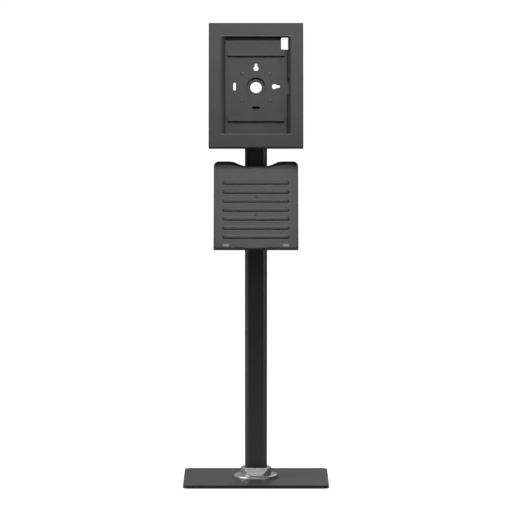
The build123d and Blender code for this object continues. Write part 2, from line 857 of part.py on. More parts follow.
cam_screw = socket_screw(
    cam_screw_radius, cam_thickness + cam_screw_bite, cam_screw_head_radius, cam_screw_head_height
)
with BuildPart() as cam_screws:
    with Locations(lock_plane(cam_inner)):
        add(cam_screw)
save(cam_screws.part, "cam_screw")

# Piano hinge: knuckles take turns between the leaf on the wall and the leaf on the frame
knuckle_length = hinge_length / hinge_knuckle_count


def hinge_plane(along):
    """Plane square to the hinge pin: X across the head, Y out of its face."""
    place = head_plane.from_local_coords((hinge_axis_across, along, hinge_axis_depth))
    return Plane(origin=place, x_dir=head_plane.x_dir, z_dir=-head_plane.y_dir)


def knuckle_starts(first):
    """Upper end of every second knuckle, counted from the first one."""
    return [
        hinge_length / 2 - index * knuckle_length - hinge_knuckle_gap
        for index in range(first, hinge_knuckle_count, 2)
    ]


leaf_clearance = hinge_knuckle_radius + hinge_leaf_gap
lid_leaf_depth = lid_inner_depth - hinge_axis_depth - sheet
with BuildPart() as wall_hinge_leaf:
    with BuildSketch(hinge_plane(hinge_length / 2)):
        with Locations((hinge_axis_inset - 2 * sheet, -leaf_clearance)):
            Rectangle(sheet, hinge_leaf_width - leaf_clearance, align=(Align.MIN, Align.MAX))
    extrude(amount=hinge_length)
    for along in knuckle_starts(0):
        with BuildSketch(hinge_plane(along)):
            Circle(hinge_knuckle_radius)
            with Locations((hinge_axis_inset - 2 * sheet, 0)):
                Rectangle(sheet, leaf_clearance, align=(Align.MIN, Align.MAX))
        extrude(amount=knuckle_length - 2 * hinge_knuckle_gap)
    with BuildSketch(hinge_plane(hinge_length / 2)):
        Circle(hinge_pin_radius + hinge_pin_gap)
    extrude(amount=hinge_length, mode=Mode.SUBTRACT)
save(wall_hinge_leaf.part, "wall_hinge_leaf")

with BuildPart() as lid_hinge_leaf:
    with BuildSketch(hinge_plane(hinge_length / 2)):
        with Locations((-leaf_clearance, lid_leaf_depth)):
            Rectangle(hinge_leaf_width, sheet, align=(Align.MAX, Align.MIN))
    extrude(amount=hinge_length)
    for along in knuckle_starts(1):
        with BuildSketch(hinge_plane(along)):
            Circle(hinge_knuckle_radius)
            with Locations((0, lid_leaf_depth)):
                Rectangle(leaf_clearance, sheet, align=(Align.MAX, Align.MIN))
        extrude(amount=knuckle_length - 2 * hinge_knuckle_gap)
    with BuildSketch(hinge_plane(hinge_length / 2)):
        Circle(hinge_pin_radius + hinge_pin_gap)
    extrude(amount=hinge_length, mode=Mode.SUBTRACT)
save(lid_hinge_leaf.part, "lid_hinge_leaf")

with BuildPart() as hinge_pin:
    with BuildSketch(hinge_plane(hinge_length / 2)):
        Circle(hinge_pin_radius)
    extrude(amount=hinge_length)
save(hinge_pin.part, "hinge_pin")

# Front frame: a deep folded lid whose window edges roll back towards the tablet
window_cut_half = window_cut_width / 2
roll_centre_depth = enclosure_depth - window_roll_radius
roll_wedge_reach = 2 * window_roll_reach
roll_wedge_rise = 2 * window_roll_radius * cos(radians(window_roll_turn))
lid_side_inner = enclosure_width / 2 - sheet
lid_end_inner = enclosure_height / 2 - sheet


with BuildPart() as front_frame:
    with BuildSketch(head_plane.offset(lid_back_gap)):
        RectangleRounded(enclosure_width, enclosure_height, enclosure_corner_radius)
    extrude(amount=enclosure_depth - lid_back_gap)
    fillet(front_frame.faces().sort_by(head_axis)[-1].edges(), bend_radius)
    with BuildSketch(head_plane.offset(lid_back_gap)):
        Rectangle(2 * lid_side_inner, 2 * lid_end_inner)
        with Locations((enclosure_width / 2, 0)):
            Rectangle(2 * sheet + overrun, 2 * lid_end_inner)
    extrude(amount=lid_inner_depth - lid_back_gap, mode=Mode.SUBTRACT)
    with BuildSketch(side_plane(head_plane, -lid_side_inner)):
        with Locations((lock_depth_centre, 0)):
            Circle(lock_head_radius + lid_notch_gap)
            Rectangle(
                lock_depth_centre,
                2 * (lock_head_radius + lid_notch_gap),
                align=(Align.MAX, Align.CENTER),
            )
    extrude(amount=sheet, mode=Mode.SUBTRACT)
    with BuildSketch(head_plane.offset(lid_inner_depth)):
        Rectangle(window_cut_width, window_height)
        with Locations(
            (0, window_height / 2 + window_notch_depth - window_notch_radius),
            (0, window_notch_radius - window_notch_depth - window_height / 2),
        ):
            Circle(window_notch_radius)
    extrude(amount=sheet, mode=Mode.SUBTRACT)
    for side in (-1, 1):
        with BuildSketch(section_plane(head_plane, window_height / 2 - window_roll_relief)):
            with Locations((side * window_cut_half, roll_centre_depth)):
                Circle(window_roll_radius)
                Circle(window_roll_radius - sheet, mode=Mode.SUBTRACT)
                Polygon(
                    (0, 0),
                    (0, 2 * window_roll_radius),
                    (-side * roll_wedge_reach, roll_wedge_rise),
                    align=None,
                    mode=Mode.INTERSECT,
                )
        extrude(amount=window_height - 2 * window_roll_relief)
    with BuildSketch(head_plane.offset(roll_centre_depth)):
        with Locations((window_clear_width / 2, side_notch_rise)):
            RectangleRounded(2 * side_notch_depth, side_notch_length, side_notch_round)
        with Locations((window_clear_width / 2, window_height / 2)):
            Rectangle(
                2 * camera_relief_depth,
                camera_relief_length,
                align=(Align.CENTER, Align.MAX),
            )
    extrude(amount=window_roll_radius, mode=Mode.SUBTRACT)
save(front_frame.part, "front_frame")

# Catch welded behind the frame: its foot lies under the cam once the lock is turned
catch_leg_across = cam_inner + catch_clearance
with BuildPart() as lid_catch:
    with BuildSketch(section_plane(head_plane, catch_rise + catch_length)):
        with BuildLine():
            Polyline(
                (catch_leg_across, lid_inner_depth),
                (catch_leg_across + sheet + catch_tab_width, lid_inner_depth),
                (catch_leg_across + sheet + catch_tab_width, lid_inner_depth - sheet),
                (catch_leg_across + sheet, lid_inner_depth - sheet),
                (catch_leg_across + sheet, sheet + catch_foot_lift),
                (catch_leg_across - catch_foot_reach, sheet + catch_foot_lift),
                (catch_leg_across - catch_foot_reach, sheet + catch_foot_lift + catch_foot_thickness),
                (catch_leg_across, sheet + catch_foot_lift + catch_foot_thickness),
                close=True,
            )
        make_face()
    extrude(amount=catch_length)
save(lid_catch.part, "lid_catch")

# Rubber strips that press the tablet's bezel above and below the window
with BuildPart() as window_strips:
    with BuildSketch(head_plane.offset(lid_inner_depth)):
        with GridLocations(0, window_height + 2 * strip_setback + strip_width, 1, 2):
            Rectangle(strip_length, strip_width)
    extrude(amount=-strip_thickness)
save(window_strips.part, "window_strips")

# Document tray: a dished plate with a dipped upper edge, pressed ribs, a scooped ledge and two stop tabs
tray_half_width = tray_width / 2
tray_half_height = tray_height / 2
tray_flat_inner = tray_half_width - tray_crest_inset
crest_span = tray_flat_inner - tray_dip_half_width
crest_and_valley = (crest_span**2 + tray_dip_depth**2) / (2 * tray_dip_depth)
valley_radius = crest_and_valley - tray_crest_radius
crest_turn = degrees(asin(crest_span / crest_and_valley))
with BuildSketch(tray_plane) as tray_outline:
    with BuildLine():
        corner = Line((0, -tray_half_height), (tray_half_width, -tray_half_height))
        flank = Line(corner @ 1, (tray_half_width, tray_half_height - tray_top_corner_radius))
        shoulder = JernArc(flank @ 1, flank % 1, tray_top_corner_radius, 90)
        flat = Line(shoulder @ 1, (tray_flat_inner, tray_half_height))
        crest = JernArc(flat @ 1, flat % 1, tray_crest_radius, crest_turn)
        valley = JernArc(crest @ 1, crest % 1, valley_radius, -crest_turn)
        Line(valley @ 1, (0, tray_half_height - tray_dip_depth))
        mirror(about=Plane.YZ)
    make_face()

rib_places = [(0, rib_first - index * rib_pitch) for index in range(rib_count)]
tray_screw_places = [
    (0, tray_screw_shift + side * tray_screw_spacing / 2) for side in (-1, 1)
]
ledge_top = tray_sheet - tray_half_height
ledge_scoop_radius = (ledge_scoop_half_width**2 + ledge_scoop_depth**2) / (2 * ledge_scoop_depth)
rim_scoop_radius = (rim_scoop_half_width**2 + rim_scoop_depth**2) / (2 * rim_scoop_depth)
with BuildPart() as tray_panel:
    with BuildSketch(tray_plane):
        add(tray_outline.sketch_local)
    extrude(amount=tray_rim)
    fillet(tray_panel.faces().sort_by(tray_axis)[-1].edges(), tray_edge_round)
    with BuildSketch(tray_plane.offset(-tray_sheet)):
        add(tray_outline.sketch_local)
    extrude(amount=tray_sheet)
    with BuildSketch(tray_plane):
        add(tray_outline.sketch_local)
        offset(amount=-tray_sheet, kind=Kind.INTERSECTION)
    extrude(amount=tray_rim, mode=Mode.SUBTRACT)
    with BuildSketch(section_plane(tray_plane, tray_half_height)):
        with Locations((0, tray_rim + rim_scoop_radius - rim_scoop_depth)):
            Circle(rim_scoop_radius)
    extrude(amount=tray_dip_depth + 2 * tray_sheet, mode=Mode.SUBTRACT)
    with BuildSketch(side_plane(tray_plane, tray_half_width)):
        with BuildLine():
            Polyline(
                (0, -tray_half_height),
                (tray_ledge_depth, -tray_half_height),
                (tray_ledge_depth, ledge_top),
                (tray_rim, ledge_top + tray_cheek_rise),
                (0, ledge_top + tray_cheek_rise),
                close=True,
            )
        make_face()
    extrude(amount=tray_width)
    with BuildSketch(side_plane(tray_plane, tray_half_width - tray_sheet)):
        with Locations((0, ledge_top)):
            Rectangle(
                tray_ledge_depth + overrun, tray_cheek_rise + overrun, align=(Align.MIN, Align.MIN)
            )
    extrude(amount=tray_width - 2 * tray_sheet, mode=Mode.SUBTRACT)
    with BuildSketch(section_plane(tray_plane, ledge_top + tray_cheek_rise)):
        with Locations((0, tray_rim)):
            Rectangle(tray_width, tray_ledge_depth, align=(Align.CENTER, Align.MIN))
        RectangleRounded(
            tray_width, 2 * tray_ledge_depth, tray_ledge_corner_radius, mode=Mode.SUBTRACT
        )
    extrude(amount=tray_cheek_rise + tray_sheet, mode=Mode.SUBTRACT)
    with BuildSketch(section_plane(tray_plane, ledge_top)):
        with Locations((0, tray_ledge_depth + ledge_scoop_radius - ledge_scoop_depth)):
            Circle(ledge_scoop_radius)
    extrude(amount=tray_sheet, mode=Mode.SUBTRACT)
    with BuildSketch(tray_plane):
        with Locations(*rib_places):
            SlotOverall(rib_length, rib_width)
    extrude(amount=rib_height)
    rib_tops = [
        face
        for face in tray_panel.faces().filter_by(tray_plane)
        if abs(tray_plane.to_local_coords(face.center()).Z - rib_height) < face_gap
    ]
    fillet([edge for face in rib_tops for edge in face.edges()], rib_round)
    with BuildSketch(tray_plane.offset(-tray_sheet)):
        with Locations(*rib_places):
            SlotOverall(rib_length - 2 * tray_sheet, rib_width - 2 * tray_sheet)
    extrude(amount=rib_groove_depth, mode=Mode.SUBTRACT)
    with BuildSketch(tray_plane.offset(tray_ledge_depth)) as stop_tabs:
        with Locations((0, ledge_top + stop_tab_height / 2)):
            with GridLocations(tray_width - 2 * stop_tab_inset, 0, 2, 1):
                Rectangle(stop_tab_width, stop_tab_height)
        fillet(stop_tabs.vertices().group_by(Axis.Y)[-1], stop_tab_round)
    extrude(amount=-tray_sheet)
    with BuildSketch(tray_plane):
        with Locations(*tray_screw_places):
            Circle(tray_screw_radius + hole_gap)
    extrude(amount=-tray_sheet, mode=Mode.SUBTRACT)
save(tray_panel.part, "tray_panel")

tray_screw = socket_screw(
    tray_screw_radius,
    tray_sheet + bracket_sheet + overrun,
    tray_screw_head_radius,
    tray_screw_head_height,
)
with BuildPart() as tray_screws:
    with Locations(tray_plane):
        with Locations(*tray_screw_places):
            add(tray_screw)
save(tray_screws.part, "tray_screws")

# Bracket behind the tray: a plate and two ears that reach back to the tray's pivot
bracket_front = -tray_sheet
bracket_back = bracket_front - bracket_sheet
bracket_ear_inner = lug_width / 2 + tray_washer_thickness
bracket_ear_outer = bracket_ear_inner + bracket_ear_thickness
with BuildPart() as tray_bracket:
    with BuildSketch(tray_plane.offset(bracket_back)):
        with Locations((0, tray_screw_shift)):
            RectangleRounded(2 * bracket_ear_outer, bracket_height, bracket_corner_radius)
        with Locations(*tray_screw_places):
            Circle(tray_screw_radius + thread_gap, mode=Mode.SUBTRACT)
    extrude(amount=bracket_sheet)
    for across in (bracket_ear_outer, -bracket_ear_inner):
        with BuildSketch(side_plane(tray_plane, across)):
            with Locations((-tray_pivot_setback, 0)):
                Circle(bracket_ear_radius)
            with Locations(((bracket_front + bracket_back) / 2, 0)):
                Rectangle(bracket_sheet, bracket_ear_root)
            make_hull()
        extrude(amount=bracket_ear_thickness)
    with BuildSketch(side_plane(tray_plane, bracket_ear_outer)):
        with Locations((-tray_pivot_setback, 0)):
            Circle(pivot_bolt_radius + thread_gap)
    extrude(amount=2 * bracket_ear_outer, mode=Mode.SUBTRACT)
save(tray_bracket.part, "tray_bracket")


def tray_pivot_seat(side, across):
    """Plane on the tray's pivot axis that faces outwards on one side."""
    return Plane(origin=tray_pivot + Vector(side * across, 0, 0), z_dir=(side, 0, 0))


# Tray pivot: one long bolt, a nut on its far end and a washer on each side of the lug
tray_bolt_screw = socket_screw(
    pivot_bolt_radius,
    2 * bracket_ear_outer + pivot_nut_height,
    pivot_head_radius,
    pivot_head_height,
)
with BuildPart() as tray_pivot_bolt:
    with Locations(tray_pivot_seat(1, bracket_ear_outer)):
        add(tray_bolt_screw)
save(tray_pivot_bolt.part, "tray_pivot_bolt")

with BuildPart() as tray_pivot_nut:
    with Locations(tray_pivot_seat(-1, bracket_ear_outer)):
        add(pivot_nut)
save(tray_pivot_nut.part, "tray_pivot_nut")

tray_washer = washer(
    tray_washer_radius, pivot_bolt_radius + thread_gap, tray_washer_thickness - face_gap
)
with BuildPart() as tray_pivot_washers:
    for side in (-1, 1):
        with Locations(tray_pivot_seat(side, lug_width / 2 + face_gap)):
            add(tray_washer)
save(tray_pivot_washers.part, "tray_pivot_washers")

# Clamp on the post: two halves with side flanges, the front one with the tray's lug
clamp_bottom = tray_pivot.Z - clamp_height / 2
clamp_flange_width = post_width + 2 * clamp_outer_offset + 2 * clamp_flange_reach
clamp_bolt_offset = post_width / 2 + clamp_outer_offset + clamp_flange_reach / 2
clamp_bolt_heights = [tray_pivot.Z + side * clamp_bolt_spacing / 2 for side in (-1, 1)]


def clamp_half(side):
    """One half of the clamp, on the -1 side in front of the post or on the +1 side behind it."""
    with BuildPart() as half:
        with BuildSketch(Plane.XY.offset(clamp_bottom)):
            RectangleRounded(
                post_width + 2 * clamp_outer_offset,
                post_depth + 2 * clamp_outer_offset,
                post_corner_radius + clamp_outer_offset,
            )
            Rectangle(clamp_flange_width, 2 * clamp_flange_thickness + clamp_split)
            RectangleRounded(
                post_width + 2 * clamp_inner_offset,
                post_depth + 2 * clamp_inner_offset,
                post_corner_radius + clamp_inner_offset,
                mode=Mode.SUBTRACT,
            )
            with Locations((0, side * clamp_split / 2)):
                Rectangle(
                    clamp_flange_width,
                    post_depth,
                    align=(Align.CENTER, Align.MIN if side > 0 else Align.MAX),
                    mode=Mode.INTERSECT,
                )
        extrude(amount=clamp_height)
        for across in (-clamp_bolt_offset, clamp_bolt_offset):
            with BuildSketch(Plane.XZ):
                for height in clamp_bolt_heights:
                    with Locations((across, height)):
                        Circle(clamp_bolt_radius + thread_gap)
            extrude(amount=clamp_flange_reach, both=True, mode=Mode.SUBTRACT)
    return half.part


rear_half = clamp_half(1)
front_half = clamp_half(-1)
lug_root = post_depth / 2 + clamp_inner_offset + clamp_wall / 2
with BuildPart() as clamp_rear:
    add(rear_half)
save(clamp_rear.part, "clamp_rear")

with BuildPart() as clamp_front:
    add(front_half)
    with BuildSketch(x_plane(-lug_width / 2, tray_pivot.Z)):
        with Locations((tray_pivot.Y, 0)):
            Circle(bracket_ear_radius)
        with Locations((-lug_root, 0)):
            Rectangle(clamp_wall / 2, clamp_height * lug_root_share)
        make_hull()
    extrude(amount=lug_width)
    with BuildSketch(x_plane(-lug_width / 2, tray_pivot.Z)):
        with Locations((tray_pivot.Y, 0)):
            Circle(pivot_bolt_radius + pivot_gap)
    extrude(amount=lug_width, mode=Mode.SUBTRACT)
save(clamp_front.part, "clamp_front")

# Nylon liners inside the two halves of the clamp
with BuildPart() as clamp_liners:
    with BuildSketch(Plane.XY.offset(clamp_bottom)):
        RectangleRounded(
            post_width + 2 * clamp_inner_offset,
            post_depth + 2 * clamp_inner_offset,
            post_corner_radius + clamp_inner_offset,
        )
        RectangleRounded(
            post_width + 2 * clamp_gap,
            post_depth + 2 * clamp_gap,
            post_corner_radius + clamp_gap,
            mode=Mode.SUBTRACT,
        )
        Rectangle(clamp_flange_width, clamp_split, mode=Mode.SUBTRACT)
    extrude(amount=clamp_height)
save(clamp_liners.part, "clamp_liners")

clamp_bolt_screw = socket_screw(
    clamp_bolt_radius,
    2 * clamp_flange_thickness + clamp_split + clamp_nut_height + overrun,
    clamp_bolt_head_radius,
    clamp_bolt_head_height,
)
clamp_nut = hex_nut(clamp_nut_radius, clamp_bolt_radius + thread_gap, clamp_nut_height)
clamp_face = clamp_split / 2 + clamp_flange_thickness
with BuildPart() as clamp_bolts:
    for across in (-clamp_bolt_offset, clamp_bolt_offset):
        for height in clamp_bolt_heights:
            with Locations(Plane(origin=(across, -clamp_face, height), z_dir=(0, -1, 0))):
                add(clamp_bolt_screw)
save(clamp_bolts.part, "clamp_bolts")

with BuildPart() as clamp_nuts:
    for across in (-clamp_bolt_offset, clamp_bolt_offset):
        for height in clamp_bolt_heights:
            with Locations(Plane(origin=(across, clamp_face, height), z_dir=(0, 1, 0))):
                add(clamp_nut)
save(clamp_nuts.part, "clamp_nuts")
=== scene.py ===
# %% [markdown]
# This file dresses a tablet stand: a floor base, a black post, a sliding document tray
# and a sheet-steel case that locks a tablet in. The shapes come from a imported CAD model,
# which stays where it is. Blender adds the finishes, the fasteners, the light and the camera.
# The case is loaded first, because every later step takes its places from it.

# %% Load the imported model
import json
import math
from functools import partial
import bpy
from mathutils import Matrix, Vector


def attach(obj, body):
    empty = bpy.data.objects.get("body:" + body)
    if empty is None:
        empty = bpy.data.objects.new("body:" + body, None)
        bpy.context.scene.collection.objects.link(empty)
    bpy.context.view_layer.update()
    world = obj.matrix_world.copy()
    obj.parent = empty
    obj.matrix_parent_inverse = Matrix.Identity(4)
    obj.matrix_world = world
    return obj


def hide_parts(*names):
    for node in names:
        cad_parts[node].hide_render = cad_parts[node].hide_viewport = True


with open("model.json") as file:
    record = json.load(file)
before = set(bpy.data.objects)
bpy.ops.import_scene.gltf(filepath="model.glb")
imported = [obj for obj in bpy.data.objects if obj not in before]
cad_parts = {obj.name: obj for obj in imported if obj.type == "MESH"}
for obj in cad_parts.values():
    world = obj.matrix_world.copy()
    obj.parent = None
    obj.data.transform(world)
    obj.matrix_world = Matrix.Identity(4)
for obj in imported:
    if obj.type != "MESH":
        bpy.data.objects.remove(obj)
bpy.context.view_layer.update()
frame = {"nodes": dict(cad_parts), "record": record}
scene = bpy.context.scene

# %% [markdown]
# The stand was photographed from far away with a long lens, a little above its middle,
# so its upright edges stay parallel. A camera can be turned by hand until it looks right,
# or worked out from known edges. Here the base plate's corners gave its height, distance,
# pitch and lens, so the picture's edges fall where the object's edges are.

# %% Camera
pitch_down = math.radians(5.82)
camera_data = bpy.data.cameras.new("studio_camera")
camera_data.sensor_width = 36.0
camera_data.lens = 250.5
camera_data.clip_end = 60.0
camera = bpy.data.objects.new("studio_camera", camera_data)
camera.location = (0.0, -9.777, 1.622)
camera.rotation_euler = (math.radians(90.0) - pitch_down, 0.0, 0.0)
scene.collection.objects.link(camera)
scene.camera = camera
print("camera:", tuple(camera.location), "lens", camera_data.lens)

# %% [markdown]
# Node trees are built from many small nodes, so a few helpers keep the later cells short.
# One adds a node and fills its sockets, whether a value or another node's output is given.
# One adds a Math node, since most patterns here are a few lines of arithmetic. The others
# split a vector into its parts and run a value smoothly from one level to another.

# %% Node helpers
def add_node(tree, kind, inputs=None, **settings):
    node = tree.nodes.new(kind)
    for name, value in settings.items():
        setattr(node, name, value)
    for key, value in (inputs or {}).items():
        socket = node.inputs[key]
        if isinstance(value, bpy.types.NodeSocket):
            tree.links.new(value, socket)
        else:
            socket.default_value = value
    return node


def calc(tree, operation, *values, clamp=False):
    node = add_node(
        tree, "ShaderNodeMath", dict(enumerate(values)), operation=operation, use_clamp=clamp
    )
    return node.outputs[0]


def split(tree, vector):
    parts = add_node(tree, "ShaderNodeSeparateXYZ", {"Vector": vector})
    return tuple(parts.outputs)


def ramp(tree, value, start, end, low, high):
    span = add_node(
        tree,
        "ShaderNodeMapRange",
        {"Value": value, "From Min": start, "From Max": end, "To Min": low, "To Max": high},
        interpolation_type="SMOOTHSTEP",
    )
    return span.outputs["Result"]


print("helpers:", add_node.__name__, calc.__name__, split.__name__, ramp.__name__)

# %% [markdown]
# The stand was lit in a studio whose rear wall is white and whose front is dark, which is why
# its black post stays black and still has a light line along its edge. The world repeats that
# room. For the camera it is plain white. Mirror rays see the white wall behind the stand and the
# dark room in front of it. Every other ray gets a fill that is weak from below and stronger
# from behind, so the stand's rear can be read from other sides.

# %% World light
world = bpy.data.worlds.new("studio")
scene.world = world
world.use_nodes = True
sky = world.node_tree
sky.nodes.clear()
ray = add_node(sky, "ShaderNodeLightPath")
toward_x, toward_y, toward_z = split(
    sky, add_node(sky, "ShaderNodeTexCoord").outputs["Generated"]
)

rear_wall = ramp(sky, toward_y, start=-0.05, end=0.45, low=0.0, high=1.0)
left_half = ramp(sky, toward_x, start=-0.35, end=0.30, low=0.62, high=0.10)
front_room = ramp(sky, toward_y, start=-0.92, end=-0.55, low=0.17, high=0.02)
mirrored_room = calc(sky, "MULTIPLY_ADD", rear_wall, left_half, front_room)
fill_above = ramp(sky, toward_z, start=-0.4, end=0.6, low=0.03, high=0.22)
fill_behind = ramp(sky, toward_y, start=0.0, end=0.8, low=0.0, high=0.55)
fill = calc(sky, "ADD", fill_above, fill_behind)
mirror_ray = calc(
    sky, "ADD", ray.outputs["Is Glossy Ray"], ray.outputs["Is Transmission Ray"], clamp=True
)
plain_level = add_node(
    sky, "ShaderNodeMix", {"Factor": mirror_ray, "A": fill, "B": mirrored_room}
)
level = add_node(
    sky,
    "ShaderNodeMix",
    {"Factor": ray.outputs["Is Camera Ray"], "A": plain_level.outputs[0], "B": 1.0},
)
backdrop = add_node(
    sky, "ShaderNodeBackground", {"Color": (1.0, 1.0, 1.0, 1.0), "Strength": level.outputs[0]}
)
add_node(sky, "ShaderNodeOutputWorld", {"Surface": backdrop.outputs[0]})
print("world nodes:", len(sky.nodes))

# %% [markdown]
# Six soft boxes stand in the room. The front one, a third of the way up the sky, lights the
# sheet and throws the short dark shadows under the window's edge and the rails. The one
# overhead shines on whatever faces up: the ribs, the folds and the foot's slope. A narrow one
# at the right draws the thin line down the post. One at the left and a low one below it light
# the foot's rim. The low one is narrowed to a cone, so little of it spreads over the base.
# The last stands behind and lights the rear, for views from other sides.

# %% Soft boxes
def soft_box(name, place, aim, size, power, cone=180.0):
    lamp = bpy.data.lights.new(name, "AREA")
    lamp.shape = "RECTANGLE"
    lamp.size, lamp.size_y = size
    lamp.energy = power
    lamp.spread = math.radians(cone)
    lamp_object = bpy.data.objects.new(name, lamp)
    lamp_object.location = place
    direction = Vector(aim) - Vector(place)
    lamp_object.rotation_euler = direction.to_track_quat("-Z", "Y").to_euler()
    scene.collection.objects.link(lamp_object)
    return lamp_object


boxes = [
    soft_box(
        "front_soft_box",
        place=(0.0, -1.95, 2.18),
        aim=(0.0, 0.0, 0.8),
        size=(0.8, 0.45),
        power=20.5,
    ),
    soft_box(
        "overhead_soft_box",
        place=(0.0, -0.9, 3.0),
        aim=(0.0, 0.0, 0.3),
        size=(1.2, 0.8),
        power=6.0,
    ),
    soft_box(
        "right_strip_box",
        place=(1.75, -1.64, 0.8),
        aim=(0.0, 0.0, 0.7),
        size=(0.12, 2.2),
        power=13.5,
    ),
    soft_box(
        "left_soft_box",
        place=(-1.5, 0.35, 1.9),
        aim=(0.0, 0.0, 0.2),
        size=(0.9, 0.9),
        power=7.0,
    ),
    soft_box(
        "foot_soft_box",
        place=(-1.05, -0.42, 0.56),
        aim=(0.0, -0.05, 0.0),
        size=(0.75, 0.5),
        power=2.4,
        cone=60.0,
    ),
    soft_box(
        "rear_soft_box",
        place=(0.7, 2.3, 1.7),
        aim=(0.0, 0.0, 0.7),
        size=(0.9, 0.9),
        power=18.0,
    ),
]
print("soft boxes:", [box.name for box in boxes])

# %% [markdown]
# The floor is a sheet of white paper that runs far behind the stand. It is lit evenly to full
# white by a glow that only the camera sees, on top of a paper tone that still takes the
# stand's soft shadow. The tone is low, so little light goes back up under the stand.
# Mirror rays see a part of the glow in front of the stand, which gives the flat parts a sheen.

# %% Floor
floor_material = bpy.data.materials.new("white_paper")
floor_material.use_nodes = True
paper = floor_material.node_tree
paper_shader = paper.nodes["Principled BSDF"]
paper_sockets = {
    "Base Color": (0.14, 0.14, 0.14, 1.0),
    "Roughness": 0.95,
    "Specular IOR Level": 0.0,
    "Emission Color": (1.0, 1.0, 1.0, 1.0),
}
for label, value in paper_sockets.items():
    paper_shader.inputs[label].default_value = value
paper_ray = add_node(paper, "ShaderNodeLightPath")
paper_y = split(paper, add_node(paper, "ShaderNodeTexCoord").outputs["Object"])[1]
near_front = ramp(paper, paper_y, start=-3.6, end=-0.5, low=0.0, high=0.62)
not_behind = ramp(paper, paper_y, start=0.1, end=0.7, low=1.0, high=0.0)
mirrored_glow = calc(paper, "MULTIPLY", near_front, not_behind)
camera_glow = 0.975
paper_glow = calc(
    paper,
    "MULTIPLY_ADD",
    paper_ray.outputs["Is Camera Ray"],
    camera_glow,
    calc(paper, "MULTIPLY", paper_ray.outputs["Is Glossy Ray"], mirrored_glow),
)
paper.links.new(paper_glow, paper_shader.inputs["Emission Strength"])
floor_half = 14.0
floor_mesh = bpy.data.meshes.new("floor")
floor_mesh.from_pydata(
    [
        (-floor_half, -floor_half, 0.0),
        (floor_half, -floor_half, 0.0),
        (floor_half, floor_half, 0.0),
        (-floor_half, floor_half, 0.0),
    ],
    [],
    [(0, 1, 2, 3)],
)
floor = bpy.data.objects.new("floor", floor_mesh)
floor.data.materials.append(floor_material)
scene.collection.objects.link(floor)
print("floor:", floor.name, "side", 2 * floor_half)

# %% [markdown]
# Powder coat is sprayed as dry plastic dust and melted in an oven. Close up it has a fine
# orange-peel skin. One shader group makes that skin for every coated part: two layers of noise
# give a height for the Bump node, and a slow one gives the faint cloudiness of thick film.

# %% Shader group: fine coat grain
def new_group(name, inputs, outputs):
    group = bpy.data.node_groups.new(name, "ShaderNodeTree")
    for label, value in inputs.items():
        socket = group.interface.new_socket(label, in_out="INPUT", socket_type="NodeSocketFloat")
        socket.default_value = value
    for label, kind in outputs.items():
        group.interface.new_socket(label, in_out="OUTPUT", socket_type=kind)
    source = group.nodes.new("NodeGroupInput")
    target = group.nodes.new("NodeGroupOutput")
    return group, source, target


grain_group, grain_in, grain_out = new_group(
    "fine_coat_grain",
    {"Grain size": 0.0011, "Cloud size": 0.09},
    {"Height": "NodeSocketFloat", "Cloud": "NodeSocketFloat", "Speck": "NodeSocketFloat"},
)
grain_place = add_node(grain_group, "ShaderNodeTexCoord").outputs["Object"]
grain_scale = calc(grain_group, "DIVIDE", 1.0, grain_in.outputs["Grain size"])
skin = add_node(
    grain_group,
    "ShaderNodeTexNoise",
    {"Vector": grain_place, "Scale": grain_scale, "Detail": 2.0, "Roughness": 0.55},
)
pits = add_node(
    grain_group,
    "ShaderNodeTexVoronoi",
    {"Vector": grain_place, "Scale": grain_scale},
    feature="SMOOTH_F1",
)
pit_share = 0.5
height = calc(
    grain_group, "MULTIPLY_ADD", pits.outputs["Distance"], pit_share, skin.outputs["Fac"]
)
cloud = add_node(
    grain_group,
    "ShaderNodeTexNoise",
    {
        "Vector": grain_place,
        "Scale": calc(grain_group, "DIVIDE", 1.0, grain_in.outputs["Cloud size"]),
        "Detail": 3.0,
    },
)
noise_middle = 0.5
speck = calc(grain_group, "SUBTRACT", skin.outputs["Fac"], noise_middle)
grain_group.links.new(height, grain_out.inputs["Height"])
grain_group.links.new(cloud.outputs["Fac"], grain_out.inputs["Cloud"])
grain_group.links.new(speck, grain_out.inputs["Speck"])
print("group:", grain_group.name, len(grain_group.nodes), "nodes")

# %% [markdown]
# A sheet's edge is never quite sharp: the coat draws back from it and it catches light.
# The Bevel node finds such edges by looking a little way round each point. The group gives
# its rounded normal for the highlight, and a mask that says how near the edge a point is. The
# finishes lighten their colour by that mask, partly as wear and partly as a painted highlight.

# %% Shader group: soft edges
edge_group, edge_in, edge_out = new_group(
    "soft_edges",
    {"Edge radius": 0.0008},
    {"Normal": "NodeSocketVector", "Edge": "NodeSocketFloat"},
)
bevel = add_node(
    edge_group, "ShaderNodeBevel", {"Radius": edge_in.outputs["Edge radius"]}, samples=6
)
true_normal = add_node(edge_group, "ShaderNodeNewGeometry").outputs["Normal"]
turned = add_node(
    edge_group,
    "ShaderNodeVectorMath",
    {0: bevel.outputs["Normal"], 1: true_normal},
    operation="DOT_PRODUCT",
)
edge_gain = 4.0
bend = calc(edge_group, "SUBTRACT", 1.0, turned.outputs["Value"])
edge_mask = calc(edge_group, "MULTIPLY", bend, edge_gain, clamp=True)
edge_group.links.new(bevel.outputs["Normal"], edge_out.inputs["Normal"])
edge_group.links.new(edge_mask, edge_out.inputs["Edge"])
print("group:", edge_group.name, len(edge_group.nodes), "nodes")

# %% [markdown]
# Every finish starts from the same layout: a Principled shader whose colour, roughness and
# normal come from the two groups. A helper lays it out once. Values that are the same all over
# the surface go on the shader's own sockets, and only what changes over it is linked.

# %% Finish helper
CLOUD_LOW, CLOUD_HIGH = 0.3, 0.7
SPECK_CONTRAST = 0.5
SPECK_ROUGHNESS = 0.18


def blend(tree, share, first, second):
    mix = add_node(
        tree,
        "ShaderNodeMix",
        {"Factor": share, "A": first, "B": second},
        data_type="RGBA",
    )
    return mix.outputs["Result"]


